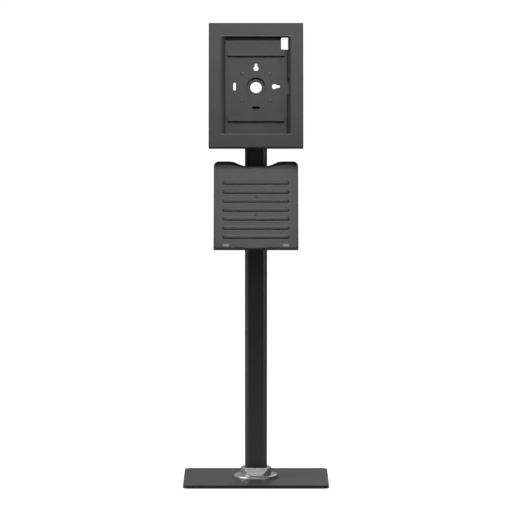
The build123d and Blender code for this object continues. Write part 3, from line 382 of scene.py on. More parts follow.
def lay_out_finish(
    name,
    dark,
    light,
    edge_wear_and_highlight_colour,
    roughness,
    grain_size,
    bump,
    edge_radius,
    edge_share,
    sockets,
):
    material = bpy.data.materials.new(name)
    material.use_nodes = True
    tree = material.node_tree
    shader = tree.nodes["Principled BSDF"]
    grain = add_node(tree, "ShaderNodeGroup", node_tree=grain_group)
    grain.inputs["Grain size"].default_value = grain_size
    edges = add_node(tree, "ShaderNodeGroup", node_tree=edge_group)
    edges.inputs["Edge radius"].default_value = edge_radius
    cloud_share = add_node(
        tree,
        "ShaderNodeMapRange",
        {"Value": grain.outputs["Cloud"], "From Min": CLOUD_LOW, "From Max": CLOUD_HIGH},
    )
    speckled = add_node(
        tree,
        "ShaderNodeHueSaturation",
        {
            "Value": calc(tree, "MULTIPLY_ADD", grain.outputs["Speck"], SPECK_CONTRAST, 1.0),
            "Color": blend(tree, cloud_share.outputs["Result"], dark, light),
        },
    )
    # Lighter colour towards the edges: partly wear where the coat thins, partly a painted
    # highlight.
    edge_amount = calc(tree, "MULTIPLY", edges.outputs["Edge"], edge_share)
    worn_and_highlit = blend(tree, edge_amount, speckled.outputs["Color"], edge_wear_and_highlight_colour)
    tree.links.new(worn_and_highlit, shader.inputs["Base Color"])
    rough = calc(tree, "MULTIPLY_ADD", grain.outputs["Speck"], SPECK_ROUGHNESS, roughness)
    tree.links.new(rough, shader.inputs["Roughness"])
    relief = add_node(
        tree,
        "ShaderNodeBump",
        {
            "Strength": 1.0,
            "Distance": bump,
            "Height": grain.outputs["Height"],
            "Normal": edges.outputs["Normal"],
        },
    )
    tree.links.new(relief.outputs["Normal"], shader.inputs["Normal"])
    for label, value in sockets.items():
        shader.inputs[label].default_value = value
    return material


print("finish helper:", lay_out_finish.__name__)

# %% [markdown]
# The case, the tray and the base plate share one dark grey fine-texture coat. Its film hides
# the steel, so it is not metallic. The reflection is kept low and broad, as a matt film does.
# The tray, the base plate and the window's folded hem get versions of their own with painted
# light. The tray and the base plate are darker, a painted shade against the extra light that
# falls on the reclined tray and the flat plate. The hem is far lighter, a painted highlight
# along the fold.

# %% Grey powder coat
grey_coat = lay_out_finish(
    "grey_powder_coat",
    dark=(0.046, 0.046, 0.0475, 1.0),
    light=(0.052, 0.052, 0.0535, 1.0),
    edge_wear_and_highlight_colour=(0.095, 0.095, 0.097, 1.0),
    roughness=0.39,
    grain_size=0.0011,
    bump=0.00006,
    edge_radius=0.0008,
    edge_share=0.8,
    sockets={"Specular IOR Level": 0.2},
)
# Tray: a slightly darker colour, painted shade against the extra light on its reclined face. Its
# ribs and tabs get painted highlights further on.
tray_coat_painted_light = lay_out_finish(
    "grey_powder_coat_tray_painted_light",
    dark=(0.042, 0.042, 0.0435, 1.0),
    light=(0.047, 0.047, 0.0485, 1.0),
    edge_wear_and_highlight_colour=(0.115, 0.115, 0.117, 1.0),
    roughness=0.37,
    grain_size=0.0011,
    bump=0.00006,
    edge_radius=0.0009,
    edge_share=0.8,
    sockets={"Specular IOR Level": 0.25},
)
# Base plate: the darker colour is painted shade against the light its flat top gets, and the
# strong wide edge colour paints a highlight along its front edge.
base_coat_painted_light = lay_out_finish(
    "grey_powder_coat_base_painted_light",
    dark=(0.021, 0.021, 0.0225, 1.0),
    light=(0.025, 0.025, 0.0265, 1.0),
    edge_wear_and_highlight_colour=(0.120, 0.120, 0.122, 1.0),
    roughness=0.33,
    grain_size=0.0011,
    bump=0.00003,
    edge_radius=0.0020,
    edge_share=1.0,
    sockets={"Specular IOR Level": 0.1},
)
# Hem: a far lighter grey, a painted highlight along the window's fold.
hem_coat_painted_highlight = lay_out_finish(
    "grey_powder_coat_hem_painted_highlight",
    dark=(0.130, 0.130, 0.132, 1.0),
    light=(0.145, 0.145, 0.147, 1.0),
    edge_wear_and_highlight_colour=(0.160, 0.160, 0.162, 1.0),
    roughness=0.37,
    grain_size=0.0011,
    bump=0.00002,
    edge_radius=0.0004,
    edge_share=0.5,
    sockets={},
)
print("finishes:", grey_coat.name, tray_coat_painted_light.name, base_coat_painted_light.name, hem_coat_painted_highlight.name)

# %% [markdown]
# The tray's seven ribs are pressed into the sheet, so each one rises from it in a soft slope.
# The CAD ribs have small round edges. A shader group adds the wider slope as a height. The tray
# leans back by 20 degrees, so the group first works out how far up the tray and how far out of
# it a point lies. Then it finds the nearest rib and falls off as a half wave beside it. Its
# sizes, in metres, are inputs with names, while the tray's centre is in millimetres as on a
# workshop drawing.

# %% Shader group: rib shoulders
MM = 0.001
RECLINE = math.radians(20.0)
TRAY_ORIGIN = Vector((0.0, -77.0, 770.0))
rib_group, rib_in, rib_out = new_group(
    "rib_shoulders",
    {
        "First rib": 0.0665,
        "Pitch": 0.0254,
        "Last index": 6.0,
        "Half width": 0.0066,
        "Half length": 0.0915,
        "Rise": 0.0006,
        "Crest offset": 0.0052,
        "Crest reach": 0.0040,
        "End fade": 0.004,
        "Face level": 0.0015,
        "Tab place": 0.082,
        "Tab half width": 0.0095,
        "Side fade": 0.002,
        "Tab level": 0.0265,
    },
    {"Height": "NodeSocketFloat", "Crest highlight": "NodeSocketFloat", "Tab": "NodeSocketFloat"},
)
rib = partial(calc, rib_group)
rib_size = rib_in.outputs
rib_x, rib_y, rib_z = split(
    rib_group, add_node(rib_group, "ShaderNodeTexCoord").outputs["Object"]
)
from_middle = rib("ABSOLUTE", rib_x)
rearward = rib("SUBTRACT", rib_y, MM * TRAY_ORIGIN.y)
upward = rib("SUBTRACT", rib_z, MM * TRAY_ORIGIN.z)
rib_along = rib(
    "ADD",
    rib("MULTIPLY", rearward, math.sin(RECLINE)),
    rib("MULTIPLY", upward, math.cos(RECLINE)),
)
outward = rib(
    "SUBTRACT",
    rib("MULTIPLY", upward, math.sin(RECLINE)),
    rib("MULTIPLY", rearward, math.cos(RECLINE)),
)

rib_down = rib("SUBTRACT", rib_size["First rib"], rib_along)
nearest = rib("ROUND", rib("DIVIDE", rib_down, rib_size["Pitch"]))
nearest = rib("MAXIMUM", rib("MINIMUM", nearest, rib_size["Last index"]), 0.0)
off_line = rib("SUBTRACT", rib_down, rib("MULTIPLY", nearest, rib_size["Pitch"]))
straight_half = rib("SUBTRACT", rib_size["Half length"], rib_size["Half width"])
past_end = rib("MAXIMUM", rib("SUBTRACT", from_middle, straight_half), 0.0)
rib_reach = rib(
    "SQRT",
    rib("ADD", rib("MULTIPLY", off_line, off_line), rib("MULTIPLY", past_end, past_end)),
)
rib_share = rib("DIVIDE", rib_reach, rib_size["Half width"], clamp=True)
rib_cosine = rib("COSINE", rib("MULTIPLY", rib_share, math.pi))
rib_wave = rib("MULTIPLY_ADD", rib_cosine, 0.5, 0.5)
rib_height = rib("MULTIPLY", rib_wave, rib_size["Rise"])
rib_group.links.new(rib_height, rib_out.inputs["Height"])
print("group:", rib_group.name, len(rib_group.nodes), "nodes")

# %% [markdown]
# Light from above falls brightest on the upper shoulder of each rib and on each stop tab. Two
# masks mark those places for a painted highlight. Painted masks would have to be drawn on an
# unwrapped mesh. Here the distances that are already in the group give both masks, and they are
# kept to the tray's front, where the highlights show.

# %% Shader group: painted highlights on ribs and tabs
# Painted highlight: a band on each rib's upper shoulder, on the tray's front.
off_crest = rib("ABSOLUTE", rib("ADD", off_line, rib_size["Crest offset"]))
crest_highlight_share = rib("SUBTRACT", 1.0, rib("DIVIDE", off_crest, rib_size["Crest reach"]), clamp=True)
end_share = rib("SUBTRACT", 1.0, rib("DIVIDE", past_end, rib_size["End fade"]), clamp=True)
on_face = rib("GREATER_THAN", outward, rib_size["Face level"])
crest_highlight_mask = rib("MULTIPLY", rib("MULTIPLY", crest_highlight_share, end_share), on_face)
rib_group.links.new(crest_highlight_mask, rib_out.inputs["Crest highlight"])

# Painted highlight on each stop tab, on the tray's front.
beside_tab = rib("ABSOLUTE", rib("SUBTRACT", from_middle, rib_size["Tab place"]))
inside_tab = rib("SUBTRACT", rib_size["Tab half width"], beside_tab)
across_tab = rib("DIVIDE", inside_tab, rib_size["Side fade"], clamp=True)
tab_band = rib(
    "MULTIPLY",
    ramp(rib_group, rib_along, start=-0.1212, end=-0.1195, low=0.0, high=1.0),
    ramp(rib_group, rib_along, start=-0.1160, end=-0.1125, low=1.0, high=0.0),
)
in_front = rib("GREATER_THAN", outward, rib_size["Tab level"])
tab_highlight_mask = rib("MULTIPLY", rib("MULTIPLY", across_tab, tab_band), in_front)
rib_group.links.new(tab_highlight_mask, rib_out.inputs["Tab"])
print("group:", rib_group.name, len(rib_group.nodes), "nodes")

# %% [markdown]
# The tray's coat takes the group in two places. The slope goes in before the coat's own grain,
# so the grain lies over it as film lies over steel. The masks lay a lighter grey over the
# shoulders and the tabs as a painted highlight. A second material for those places would
# need faces of their own, and the mesh is the CAD model's.

# %% Tray coat over its ribs
tray_tree = tray_coat_painted_light.node_tree
tray_shader = tray_tree.nodes["Principled BSDF"]
coat_relief = tray_shader.inputs["Normal"].links[0].from_node
shoulders = add_node(tray_tree, "ShaderNodeGroup", node_tree=rib_group)
shoulder_relief = add_node(
    tray_tree,
    "ShaderNodeBump",
    {
        "Strength": 1.0,
        "Distance": 1.0,
        "Height": shoulders.outputs["Height"],
        "Normal": coat_relief.inputs["Normal"].links[0].from_socket,
    },
)
tray_tree.links.new(shoulder_relief.outputs["Normal"], coat_relief.inputs["Normal"])
plain = tray_shader.inputs["Base Color"].links[0].from_socket
# Light greys of the painted highlights on the rib shoulders and the stop tabs.
crest_highlight_colour = (0.20, 0.20, 0.203, 1.0)
tab_highlight_colour = (0.26, 0.26, 0.264, 1.0)
painted_highlights = blend(tray_tree, shoulders.outputs["Crest highlight"], plain, crest_highlight_colour)
painted_highlights = blend(tray_tree, shoulders.outputs["Tab"], painted_highlights, tab_highlight_colour)
tray_tree.links.new(painted_highlights, tray_shader.inputs["Base Color"])
print("tray coat:", tray_coat_painted_light.name, len(tray_tree.nodes), "nodes")

# %% [markdown]
# The post and the clamp have a smoother satin black coat. Its face is nearly black and its
# rounded corners mirror the bright room at a flat angle, which draws the post's light lines.
# Those lines could be painted on, but then they would stay where they are when the stand turns.
# A dark coat with a clear reflection draws them afresh from every side.

# %% Black powder coat
black_coat = lay_out_finish(
    "black_powder_coat",
    dark=(0.0040, 0.0040, 0.0043, 1.0),
    light=(0.0050, 0.0050, 0.0053, 1.0),
    edge_wear_and_highlight_colour=(0.020, 0.020, 0.021, 1.0),
    roughness=0.34,
    grain_size=0.0008,
    bump=0.00002,
    edge_radius=0.0005,
    edge_share=0.5,
    sockets={"Specular IOR Level": 0.55},
)
print("finish:", black_coat.name)

# %% [markdown]
# The foot is a casting under stove enamel. The enamel flows out smooth over a slightly wavy
# casting, so it is glossier than the sheet, and its rounded rim carries the brightest line.
# The layout is the powder coat's with a coarser grain. A high IOR and a thin clear coat raise
# the reflection above the sheet's.

# %% Foot enamel
enamel = lay_out_finish(
    "foot_enamel",
    dark=(0.055, 0.055, 0.057, 1.0),
    light=(0.066, 0.066, 0.068, 1.0),
    edge_wear_and_highlight_colour=(0.15, 0.15, 0.152, 1.0),
    roughness=0.38,
    grain_size=0.0030,
    bump=0.00010,
    edge_radius=0.0008,
    edge_share=0.6,
    sockets={
        "IOR": 2.1,
        "Specular IOR Level": 0.9,
        "Coat Weight": 0.5,
        "Coat Roughness": 0.32,
    },
)
print("finish:", enamel.name)

# %% [markdown]
# Screws, bolts and nuts are steel with a black oxide skin, a dark metal rather than a paint.
# The hinge, its pin, the cam and the ring nut are zinc plated, and the lock's face is chrome.
# Nothing hides the metal here, so all three are metallic. They differ in tone and in polish.

# %% Metals
oxide = lay_out_finish(
    "black_oxide_steel",
    dark=(0.030, 0.030, 0.032, 1.0),
    light=(0.045, 0.045, 0.048, 1.0),
    edge_wear_and_highlight_colour=(0.22, 0.22, 0.23, 1.0),
    roughness=0.38,
    grain_size=0.0006,
    bump=0.00001,
    edge_radius=0.0003,
    edge_share=0.6,
    sockets={"Metallic": 0.9},
)
zinc = lay_out_finish(
    "zinc_plate",
    dark=(0.48, 0.49, 0.50, 1.0),
    light=(0.60, 0.60, 0.59, 1.0),
    edge_wear_and_highlight_colour=(0.72, 0.72, 0.72, 1.0),
    roughness=0.34,
    grain_size=0.0009,
    bump=0.00001,
    edge_radius=0.0004,
    edge_share=0.5,
    sockets={"Metallic": 1.0},
)
chrome = lay_out_finish(
    "lock_chrome",
    dark=(0.66, 0.66, 0.67, 1.0),
    light=(0.72, 0.72, 0.73, 1.0),
    edge_wear_and_highlight_colour=(0.80, 0.80, 0.80, 1.0),
    roughness=0.13,
    grain_size=0.0012,
    bump=0.000004,
    edge_radius=0.0004,
    edge_share=0.4,
    sockets={"Metallic": 1.0},
)
print("finishes:", oxide.name, zinc.name, chrome.name)

# %% [markdown]
# Feet, spacers, strips and grommets are moulded rubber with a dull bloom on it. The liners and
# the slip washer are black nylon, a little smoother. A moulded skin has a fine grain too, so
# both use the same layout. At the end every finish is listed under the name of its slot.

# %% Rubber and nylon
rubber = lay_out_finish(
    "rubber_black",
    dark=(0.014, 0.014, 0.014, 1.0),
    light=(0.022, 0.022, 0.021, 1.0),
    edge_wear_and_highlight_colour=(0.035, 0.035, 0.034, 1.0),
    roughness=0.78,
    grain_size=0.0009,
    bump=0.00004,
    edge_radius=0.0007,
    edge_share=0.5,
    sockets={"Specular IOR Level": 0.3},
)
nylon = lay_out_finish(
    "nylon_black",
    dark=(0.018, 0.018, 0.019, 1.0),
    light=(0.025, 0.025, 0.026, 1.0),
    edge_wear_and_highlight_colour=(0.05, 0.05, 0.05, 1.0),
    roughness=0.5,
    grain_size=0.0010,
    bump=0.00002,
    edge_radius=0.0005,
    edge_share=0.5,
    sockets={"Specular IOR Level": 0.4},
)
finishes = {
    "grey_powder_coat": grey_coat,
    "black_powder_coat": black_coat,
    "foot_enamel": enamel,
    "black_oxide_steel": oxide,
    "zinc_plate": zinc,
    "lock_chrome": chrome,
    "rubber_black": rubber,
    "nylon_black": nylon,
}
print("finishes:", len(finishes))

# %% [markdown]
# Each CAD node names its material slot in the record. The finish of that name goes straight
# into the node's slot, so the node's mesh and place stay as they are. The tray and the base
# plate take their own versions of the grey coat.

# %% Dress the CAD nodes
slot_of = {row["node"]: row["material_slot"] for row in frame["record"]["subparts"]}
own_finish = {"tray_panel": tray_coat_painted_light, "base_plate": base_coat_painted_light}
for node, piece in frame["nodes"].items():
    piece.data.materials.clear()
    piece.data.materials.append(own_finish.get(node, finishes[slot_of[node]]))
print("dressed nodes:", len(slot_of))

# %% [markdown]
# The fasteners come next. Every socket screw on the stand is the same part in another size, so
# one Geometry Nodes tree can turn them all, as a lathe would. Modelling each by hand would give
# the same shapes for more work. First come the helpers that build a tree with named sizes, close
# it with its material, and turn its result into one plain mesh that rides on a body.

# %% Geometry Nodes helpers
def geometry_tree(name, sizes):
    tree = bpy.data.node_groups.new(name, "GeometryNodeTree")
    tree.interface.new_socket("Places", in_out="INPUT", socket_type="NodeSocketGeometry")
    for label, value in sizes.items():
        kind = "NodeSocketInt" if isinstance(value, int) else "NodeSocketFloat"
        socket = tree.interface.new_socket(label, in_out="INPUT", socket_type=kind)
        socket.default_value = value
    tree.interface.new_socket("Material", in_out="INPUT", socket_type="NodeSocketMaterial")
    tree.interface.new_socket("Geometry", in_out="OUTPUT", socket_type="NodeSocketGeometry")
    source = tree.nodes.new("NodeGroupInput")
    target = tree.nodes.new("NodeGroupOutput")
    return tree, source, target


def send_out(tree, source, target, copies):
    real = add_node(tree, "GeometryNodeRealizeInstances", {"Geometry": copies})
    painted = add_node(
        tree,
        "GeometryNodeSetMaterial",
        {"Geometry": real.outputs["Geometry"], "Material": source.outputs["Material"]},
    )
    tree.links.new(painted.outputs["Geometry"], target.inputs["Geometry"])


def make_piece(name, body, tree, places, sizes, material, slot, *nodes):
    points = bpy.data.meshes.new(name)
    points.from_pydata([place for place, axis in places], [], [])
    axes = points.attributes.new("axis", "FLOAT_VECTOR", "POINT")
    for index, (place, axis) in enumerate(places):
        axes.data[index].vector = axis
    piece = bpy.data.objects.new(name, points)
    scene.collection.objects.link(piece)
    modifier = piece.modifiers.new("build", "NODES")
    modifier.node_group = tree
    identifiers = {
        item.name: item.identifier
        for item in tree.interface.items_tree
        if item.item_type == "SOCKET" and item.in_out == "INPUT"
    }
    for label, value in sizes.items():
        modifier[identifiers[label]] = value
    modifier[identifiers["Material"]] = material
    shapes = bpy.context.evaluated_depsgraph_get()
    mesh = bpy.data.meshes.new_from_object(piece.evaluated_get(shapes))
    piece.modifiers.remove(modifier)
    mesh.materials.clear()
    mesh.materials.append(material)
    mesh.polygons.foreach_set("material_index", [0] * len(mesh.polygons))
    mesh.name = name
    piece.data = mesh
    bpy.data.meshes.remove(points)
    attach(piece, body)
    if nodes:
        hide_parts(*nodes)
    return piece


print("geometry helpers:", geometry_tree.__name__, send_out.__name__, make_piece.__name__)

# %% [markdown]
# Some steps are the same for every turned part. A flat grid is the blank, and a profile gives
# each of its rows a radius and a height. The grid is wrapped round the axis and its seam and
# poles are welded. The Screw modifier would turn a round profile too, but in a grid the radius
# can change with the angle, as a hexagon and a thread need.

# %% Lathe steps: blank and profile
COLUMNS = 48
WELD = 0.000002


def pick_row(tree, row, values):
    chooser = tree.nodes.new("GeometryNodeIndexSwitch")
    chooser.data_type = "FLOAT"
    while len(chooser.index_switch_items) < len(values):
        chooser.index_switch_items.new()
    tree.links.new(calc(tree, "MINIMUM", row, float(len(values) - 1)), chooser.inputs["Index"])
    for index, value in enumerate(values):
        socket = chooser.inputs[index + 1]
        if isinstance(value, bpy.types.NodeSocket):
            tree.links.new(value, socket)
        else:
            socket.default_value = value
    return chooser.outputs[0]


def blank_grid(tree, rows):
    grid = add_node(
        tree,
        "GeometryNodeMeshGrid",
        {"Size X": 1.0, "Size Y": 1.0, "Vertices X": COLUMNS + 1, "Vertices Y": rows},
    )
    place = split(tree, add_node(tree, "GeometryNodeInputPosition").outputs["Position"])
    return grid.outputs["Mesh"], place[0], place[1]


def wrap_grid(tree, grid, turn, radius, height):
    angle = calc(tree, "MULTIPLY", turn, -2.0 * math.pi)
    place = add_node(
        tree,
        "ShaderNodeCombineXYZ",
        {
            "X": calc(tree, "MULTIPLY", radius, calc(tree, "COSINE", angle)),
            "Y": calc(tree, "MULTIPLY", radius, calc(tree, "SINE", angle)),
            "Z": height,
        },
    )
    shaped = add_node(
        tree, "GeometryNodeSetPosition", {"Geometry": grid, "Position": place.outputs["Vector"]}
    )
    welded = add_node(
        tree,
        "GeometryNodeMergeByDistance",
        {"Geometry": shaped.outputs["Geometry"], "Distance": WELD},
    )
    return welded.outputs["Geometry"]


print("lathe columns:", COLUMNS)

# %% [markdown]
# A turned part has round faces and crisp corners. Every face is shaded smooth and only edges that
# bend by more than 32 degrees are marked sharp, where bevels would cost many more faces. Then the
# part is copied to its places. Each copy is turned by a random angle, because no two screws are
# driven to the same stop.

# %% Lathe steps: edges and places
CRISP = math.radians(32.0)


def crisp_edges(tree, geometry):
    angle = add_node(tree, "GeometryNodeInputMeshEdgeAngle").outputs["Unsigned Angle"]
    smooth = add_node(
        tree, "GeometryNodeSetShadeSmooth", {"Geometry": geometry, "Shade Smooth": True}
    )
    marked = add_node(
        tree,
        "GeometryNodeSetShadeSmooth",
        {
            "Geometry": smooth.outputs["Geometry"],
            "Selection": calc(tree, "GREATER_THAN", angle, CRISP),
            "Shade Smooth": False,
        },
        domain="EDGE",
    )
    return marked.outputs["Geometry"]


def stand_on_places(tree, source, target, shape, seed):
    spin = add_node(
        tree,
        "FunctionNodeRandomValue",
        {"Min": (0.0, 0.0, 0.0), "Max": (0.0, 0.0, 2.0 * math.pi), "Seed": seed},
        data_type="FLOAT_VECTOR",
    )
    turned = add_node(tree, "FunctionNodeEulerToRotation", {"Euler": spin.outputs["Value"]})
    axis = add_node(
        tree, "GeometryNodeInputNamedAttribute", {"Name": "axis"}, data_type="FLOAT_VECTOR"
    )
    aligned = add_node(
        tree,
        "FunctionNodeAlignRotationToVector",
        {"Rotation": turned.outputs["Rotation"], "Vector": axis.outputs["Attribute"]},
        axis="Z",
    )
    placed = add_node(
        tree,
        "GeometryNodeInstanceOnPoints",
        {
            "Points": source.outputs["Places"],
            "Instance": shape,
            "Rotation": aligned.outputs["Rotation"],
        },
    )
    send_out(tree, source, target, placed.outputs["Instances"])


print("sharp edges from", round(math.degrees(CRISP)), "degrees")

# %% [markdown]
# A socket screw is cold-headed from wire: a knurled head with a hexagon socket, then a rolled
# thread. In the tree the first rows of the grid are the socket and the head, and all rows after
# them are the thread. How many there are follows from the shaft's length and the thread's pitch,
# so a long bolt gets more turns and not a stretched thread.

# %% Socket screw tree: sizes and rows
HEAD_ROWS = 7.0
END_ROWS = 3.0
ROWS_PER_TURN = 4.0
screw_tree, screw_in, screw_out = geometry_tree(
    "socket_screw",
    {
        "Head radius": 0.005,
        "Head height": 0.004,
        "Shaft radius": 0.003,
        "Shaft length": 0.012,
        "Thread pitch": 0.0008,
        "Seed": 1,
    },
)
head_radius = screw_in.outputs["Head radius"]
head_height = screw_in.outputs["Head height"]
shaft_radius = screw_in.outputs["Shaft radius"]
shaft_length = screw_in.outputs["Shaft length"]
pitch = screw_in.outputs["Thread pitch"]
screw = partial(calc, screw_tree)
threads = screw("DIVIDE", shaft_length, pitch)
thread_rows = screw("CEIL", screw("MULTIPLY", threads, ROWS_PER_TURN))
rows = screw("ADD", thread_rows, HEAD_ROWS + END_ROWS)
blank, across, along = blank_grid(screw_tree, rows)
turn = screw("ADD", across, 0.5)
last_row = screw("SUBTRACT", rows, 1.0)
row = screw("ROUND", screw("MULTIPLY", screw("ADD", along, 0.5), last_row))
print("head rows:", HEAD_ROWS, "rows for each turn of the thread:", ROWS_PER_TURN)

# %% [markdown]
# The head has a hexagon socket for the key and small ridges round its side for the fingers. Both
# could be cut with booleans, which leave long thin faces. A hexagon's radius is a plain function
# of the angle, so the socket's rows follow it, and every second column is drawn in for a ridge.

# %% Socket screw tree: head
HEX_SIDES = 6.0
KNURL_DEPTH = 0.035
SOCKET_SHARE = 0.47
FLOOR_SHARE = 0.45
BEVEL_SHARE = 0.22


def hexagon(tree, turn):
    along_side = calc(tree, "FRACT", calc(tree, "MULTIPLY", turn, HEX_SIDES))
    off_centre = calc(tree, "SUBTRACT", along_side, 0.5)
    lean = calc(tree, "COSINE", calc(tree, "MULTIPLY", off_centre, 2.0 * math.pi / HEX_SIDES))
    return calc(tree, "DIVIDE", math.cos(math.pi / HEX_SIDES), lean)


ridge = screw("MODULO", screw("ROUND", screw("MULTIPLY", turn, float(COLUMNS))), 2.0)
knurl = screw("SUBTRACT", 1.0, screw("MULTIPLY", ridge, KNURL_DEPTH))
knurled = screw("MULTIPLY", head_radius, knurl)
socket_corner = screw("MULTIPLY", head_radius, SOCKET_SHARE)
socket_radius = screw("MULTIPLY", socket_corner, hexagon(screw_tree, turn))
socket_floor = screw("MULTIPLY", head_height, FLOOR_SHARE)
bevel_size = screw("MULTIPLY", head_height, BEVEL_SHARE)
head_top_radius = screw("SUBTRACT", head_radius, bevel_size)
print("socket:", SOCKET_SHARE, "of the head's radius,", FLOOR_SHARE, "of its height")

# %% [markdown]
# A rolled thread is a groove that runs round and down at once. Its depth follows the height and
# the angle together, so level rings show as a helix and the part stays one closed grid. The last
# row falls to the axis and closes the shaft. The profile then lists the rows from the socket's
# floor to the thread.

# %% Socket screw tree: thread and profile
down_thread = screw("DIVIDE", screw("SUBTRACT", row, HEAD_ROWS), screw("ADD", thread_rows, 1.0))
shaft_drop = screw("MAXIMUM", screw("MULTIPLY", down_thread, shaft_length), 0.0)
shaft_drop = screw("MINIMUM", shaft_drop, shaft_length)
helix = screw("ADD", screw("DIVIDE", shaft_drop, pitch), turn)
groove = screw("MULTIPLY", screw("PINGPONG", helix, 0.5), pitch)
is_last = screw("GREATER_THAN", row, screw("SUBTRACT", rows, 1.5))
thread_radius = screw(
    "MULTIPLY", screw("SUBTRACT", shaft_radius, groove), screw("SUBTRACT", 1.0, is_last)
)

screw_profile = [
    (0.0, socket_floor),
    (socket_radius, socket_floor),
    (socket_radius, head_height),
    (head_top_radius, head_height),
    (knurled, screw("SUBTRACT", head_height, bevel_size)),
    (knurled, 0.0),
    (shaft_radius, 0.0),
    (thread_radius, screw("MULTIPLY", shaft_drop, -1.0)),
]
screw_radius, screw_height = (pick_row(screw_tree, row, values) for values in zip(*screw_profile))
screw_body = wrap_grid(screw_tree, blank, turn, screw_radius, screw_height)
screw_shape = crisp_edges(screw_tree, screw_body)
stand_on_places(screw_tree, screw_in, screw_out, screw_shape, screw_in.outputs["Seed"])
print("screw tree:", len(screw_tree.nodes), "nodes")

# %% [markdown]
# A nut is cut from hexagon bar and chamfered on both sides, which leaves the curved line at each
# corner. The tree wraps a closed profile: up the bore, out over the top, down a flat and back.
# The chamfer takes more height off where the hexagon is wider, as the turning tool does.

# %% Hexagon nut tree
NUT_ROWS = 9
FACE_SHARE = 0.85
CHAMFER_SLOPE = 0.58
MOUTH_SHARE = 0.12
nut_tree, nut_in, nut_out = geometry_tree(
    "hexagon_nut", {"Corner radius": 0.0074, "Bore radius": 0.00405, "Height": 0.006, "Seed": 2}
)
nut = partial(calc, nut_tree)
nut_blank, nut_across, nut_along = blank_grid(nut_tree, NUT_ROWS)
nut_turn = nut("ADD", nut_across, 0.5)
nut_steps = float(NUT_ROWS - 1)
nut_row = nut("ROUND", nut("MULTIPLY_ADD", nut_along, nut_steps, 0.5 * nut_steps))
corner_radius = nut_in.outputs["Corner radius"]
bore_radius = nut_in.outputs["Bore radius"]
nut_height = nut_in.outputs["Height"]
flat_radius = nut("MULTIPLY", corner_radius, hexagon(nut_tree, nut_turn))
face_radius = nut("MULTIPLY", corner_radius, FACE_SHARE)
chamfer_drop = nut("MULTIPLY", nut("SUBTRACT", flat_radius, face_radius), CHAMFER_SLOPE)
bore_mouth = nut("MULTIPLY", bore_radius, 1.0 + MOUTH_SHARE)
mouth_depth = nut("MULTIPLY", bore_radius, MOUTH_SHARE)
nut_profile = [
    (bore_radius, mouth_depth),
    (bore_radius, nut("SUBTRACT", nut_height, mouth_depth)),
    (bore_mouth, nut_height),
    (face_radius, nut_height),
    (flat_radius, nut("SUBTRACT", nut_height, chamfer_drop)),
    (flat_radius, chamfer_drop),
    (face_radius, 0.0),
    (bore_mouth, 0.0),
    (bore_radius, mouth_depth),
]
nut_radius, nut_level = (pick_row(nut_tree, nut_row, values) for values in zip(*nut_profile))
nut_body = wrap_grid(nut_tree, nut_blank, nut_turn, nut_radius, nut_level)
nut_shape = crisp_edges(nut_tree, nut_body)
stand_on_places(nut_tree, nut_in, nut_out, nut_shape, nut_in.outputs["Seed"])
print("nut tree:", len(nut_tree.nodes), "nodes")

# %% [markdown]
# The case leans back by 13 degrees and the tray by 20, so a detail on them is easier to place
# along their own directions than along the room's. Each has an origin, a direction up its face
# and one out of it, in millimetres as on a workshop drawing. Two helpers turn a place given
# that way into the scene's metres.

# %% Directions of the case and the tray
TILT = math.radians(13.0)
HEAD_OUT = Vector((0.0, -math.cos(TILT), math.sin(TILT)))
HEAD_UP = Vector((0.0, math.sin(TILT), math.cos(TILT)))
PIVOT = Vector((0.0, 0.0, 1082.0))
PIVOT_TO_CASE = 62.0
HEAD_ORIGIN = PIVOT + PIVOT_TO_CASE * HEAD_OUT
TRAY_OUT = Vector((0.0, -math.cos(RECLINE), math.sin(RECLINE)))
TRAY_UP = Vector((0.0, math.sin(RECLINE), math.cos(RECLINE)))
RIGHT = Vector((1.0, 0.0, 0.0))
REAR = Vector((0.0, 1.0, 0.0))


def on_head(across, up, out):
    return MM * (HEAD_ORIGIN + across * RIGHT + up * HEAD_UP + out * HEAD_OUT)


def on_tray(across, up, out):
    return MM * (TRAY_ORIGIN + across * RIGHT + up * TRAY_UP + out * TRAY_OUT)


print("case centre:", tuple(round(value, 4) for value in on_head(0.0, 0.0, 0.0)))

# %% [markdown]
# Each set of screws gets its places and sizes from the stand: two hold the post in its
# foot, two the yoke in the post, two carry the tilt, three trap the hub and four hold the case
# on the hub's plate in a square of 75 mm. One holds the lock's cam, four close the clamp, two
# hold the tray's sheet and one carries its tilt. A list keeps all these sizes in one view.

# %% Screw sizes and places
def size_screw(head, shaft, pitch, seed):
    return {
        "Head radius": head[0] * MM,
        "Head height": head[1] * MM,
        "Shaft radius": shaft[0] * MM,
        "Shaft length": shaft[1] * MM,
        "Thread pitch": pitch * MM,
        "Seed": seed,
    }


